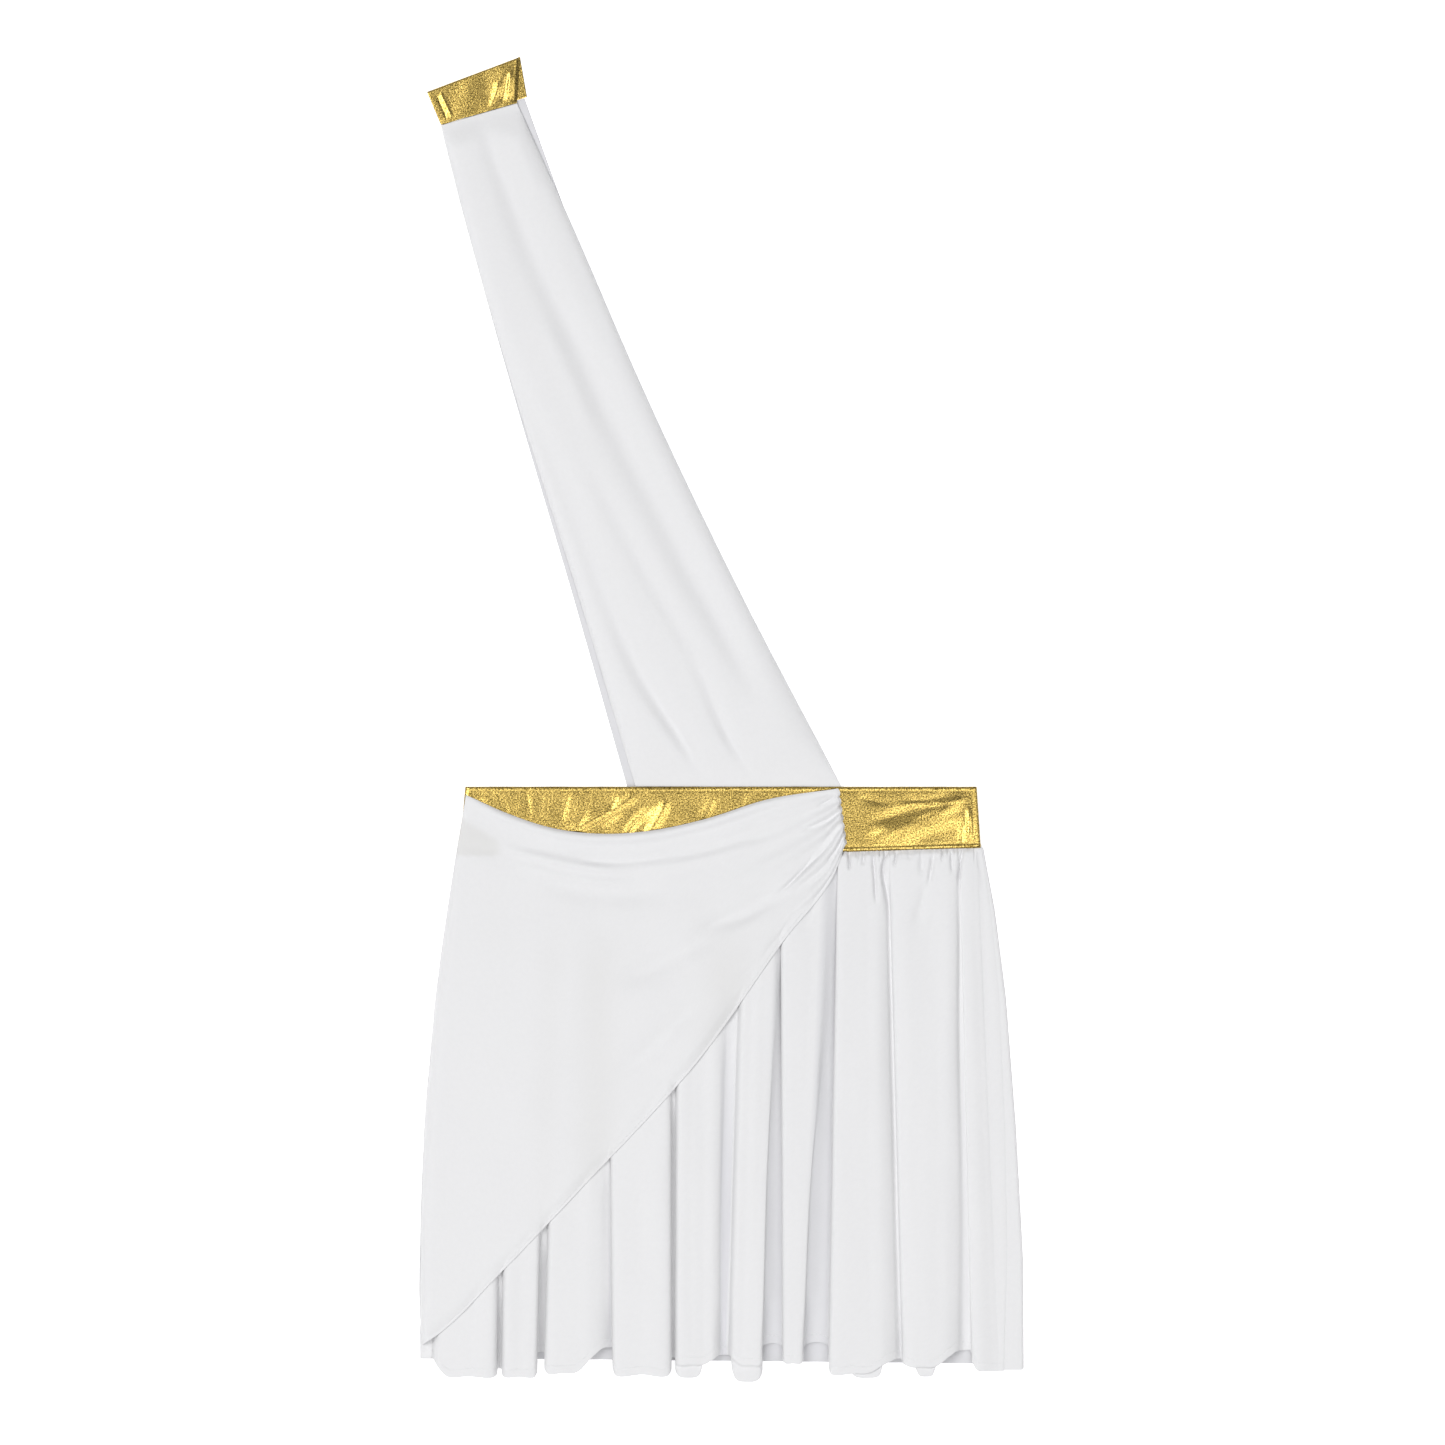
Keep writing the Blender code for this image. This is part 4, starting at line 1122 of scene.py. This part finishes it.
PIXELS = 1445
PIXEL = 0.8  # mm of the garment for each pixel of the photograph
VIEW_X = 0.4  # the middle of the photograph, mm from the garment's
VIEW_Y = -2.8
CAMERA_Z = 8.0  # m, a long lens from straight above
SENSOR = 36.0  # mm across


def make_camera():
    camera = bpy.data.cameras.new("camera")
    camera.sensor_width = SENSOR
    camera.lens = SENSOR * CAMERA_Z / (PIXELS * PIXEL * MM)
    holder = put("camera", camera)
    holder.location = (VIEW_X * MM, VIEW_Y * MM, CAMERA_Z)
    bpy.context.scene.camera = holder


# Soft boxes: place, the point each faces, size and power.
Light = namedtuple("Light", "name x y z to_x to_y size power")
LIGHTS = table(
    Light,
    ("key", -2.6, 0.6, 4.8, 0, -0.1, 3.2, 166),
    ("right", 2.8, -0.4, 4.6, 0, -0.1, 3, 40),
    ("top", 0.2, 3.8, 4.2, 0, 0, 3, 14),
    ("bottom", -0.2, -3.2, 4.4, 0, -0.2, 3, 62),
    ("overhead", 0.2, -1.8, 4.5, 0.2, -1, 4.4, 22),
    ("gleam", 1.5, -0.9, 4.5, 0.6, -0.5, 2.4, 35),
)


def make_lights():
    for row in LIGHTS:
        lamp = bpy.data.lights.new(row.name, "AREA")
        lamp.shape = "SQUARE"
        lamp.size = row.size
        lamp.energy = row.power
        holder = put(row.name, lamp)
        holder.location = (row.x, row.y, row.z)
        toward = Vector((row.to_x, row.to_y, 0.0)) - holder.location
        holder.rotation_euler = toward.to_track_quat("-Z", "Y").to_euler()
        holder.visible_camera = False
    world = bpy.data.worlds.new("studio")
    world.use_nodes = True
    fill(world.node_tree, world.node_tree.nodes["Background"], {"Color": linear("F8F8FA"), "Strength": 0.22})
    bpy.context.scene.world = world
    bpy.context.scene.view_settings.view_transform = "Standard"


def main():
    make_camera()
    make_lights()
    make_floor()
    white = white_jersey()
    gold = gold_foil()
    front, back, sash = skirt_front_points(), skirt_back_points(), sash_front_points()
    drape_grid = drape_points(front)
    # Painted shade: the back panel, the front panel's valleys and the back sash are painted greyer where they
    # lie in shade.
    back_shade = PAINTED_BACK_SHADE * (back[..., 2] < WRAP_TURN)
    front_shade = front_valley_shade(front[..., 0], band_low_y(front[..., 0]) - front[..., 1])
    skirt_back = cloth("back_panel", "skirt_back", back, JERSEY, white, painted_shade=back_shade)
    skirt_front = cloth(
        "front_panel", "skirt_front", front, JERSEY, white, painted_shade=front_shade
    )
    band_back = cloth("back_band", "waistband_back", band_back_points(), FOIL, gold)
    band_front = cloth("front_band", "waistband_front", band_front_points(), FOIL, gold)
    sash_back = cloth(
        "back_sash", "sash_back", sash_back_points(), JERSEY, white, painted_shade=PAINTED_SASH_SHADE
    )
    sash_front = cloth("front_sash", "sash_front", sash, JERSEY, white)
    # The band seen through the drape, and painted shade over the valleys under it.
    show_through_and_shade = drape_show_through_and_shade(drape_grid)
    drape = cloth("drape", "drape_panel", drape_grid, JERSEY, white, show_through_and_shade)
    tab = cloth("tab", "shoulder_tab", tab_points(), TAB_FOIL, gold)
    hem = outer_face(front, JERSEY)[: -len(LOBE_ROWS)]
    sash_face = np.swapaxes(outer_face(sash, JERSEY), 0, 1)
    lines = [
        inset(hem, HEM_DEPTH),
        inset(outer_face(drape_grid, JERSEY), DRAPE_HEM),
        inset(sash_face, SASH_HEM)[:-2],
        inset(sash_face[::-1], SASH_HEM)[:-2],
    ]
    sew("hem_stitches", lines, white_thread())


main()
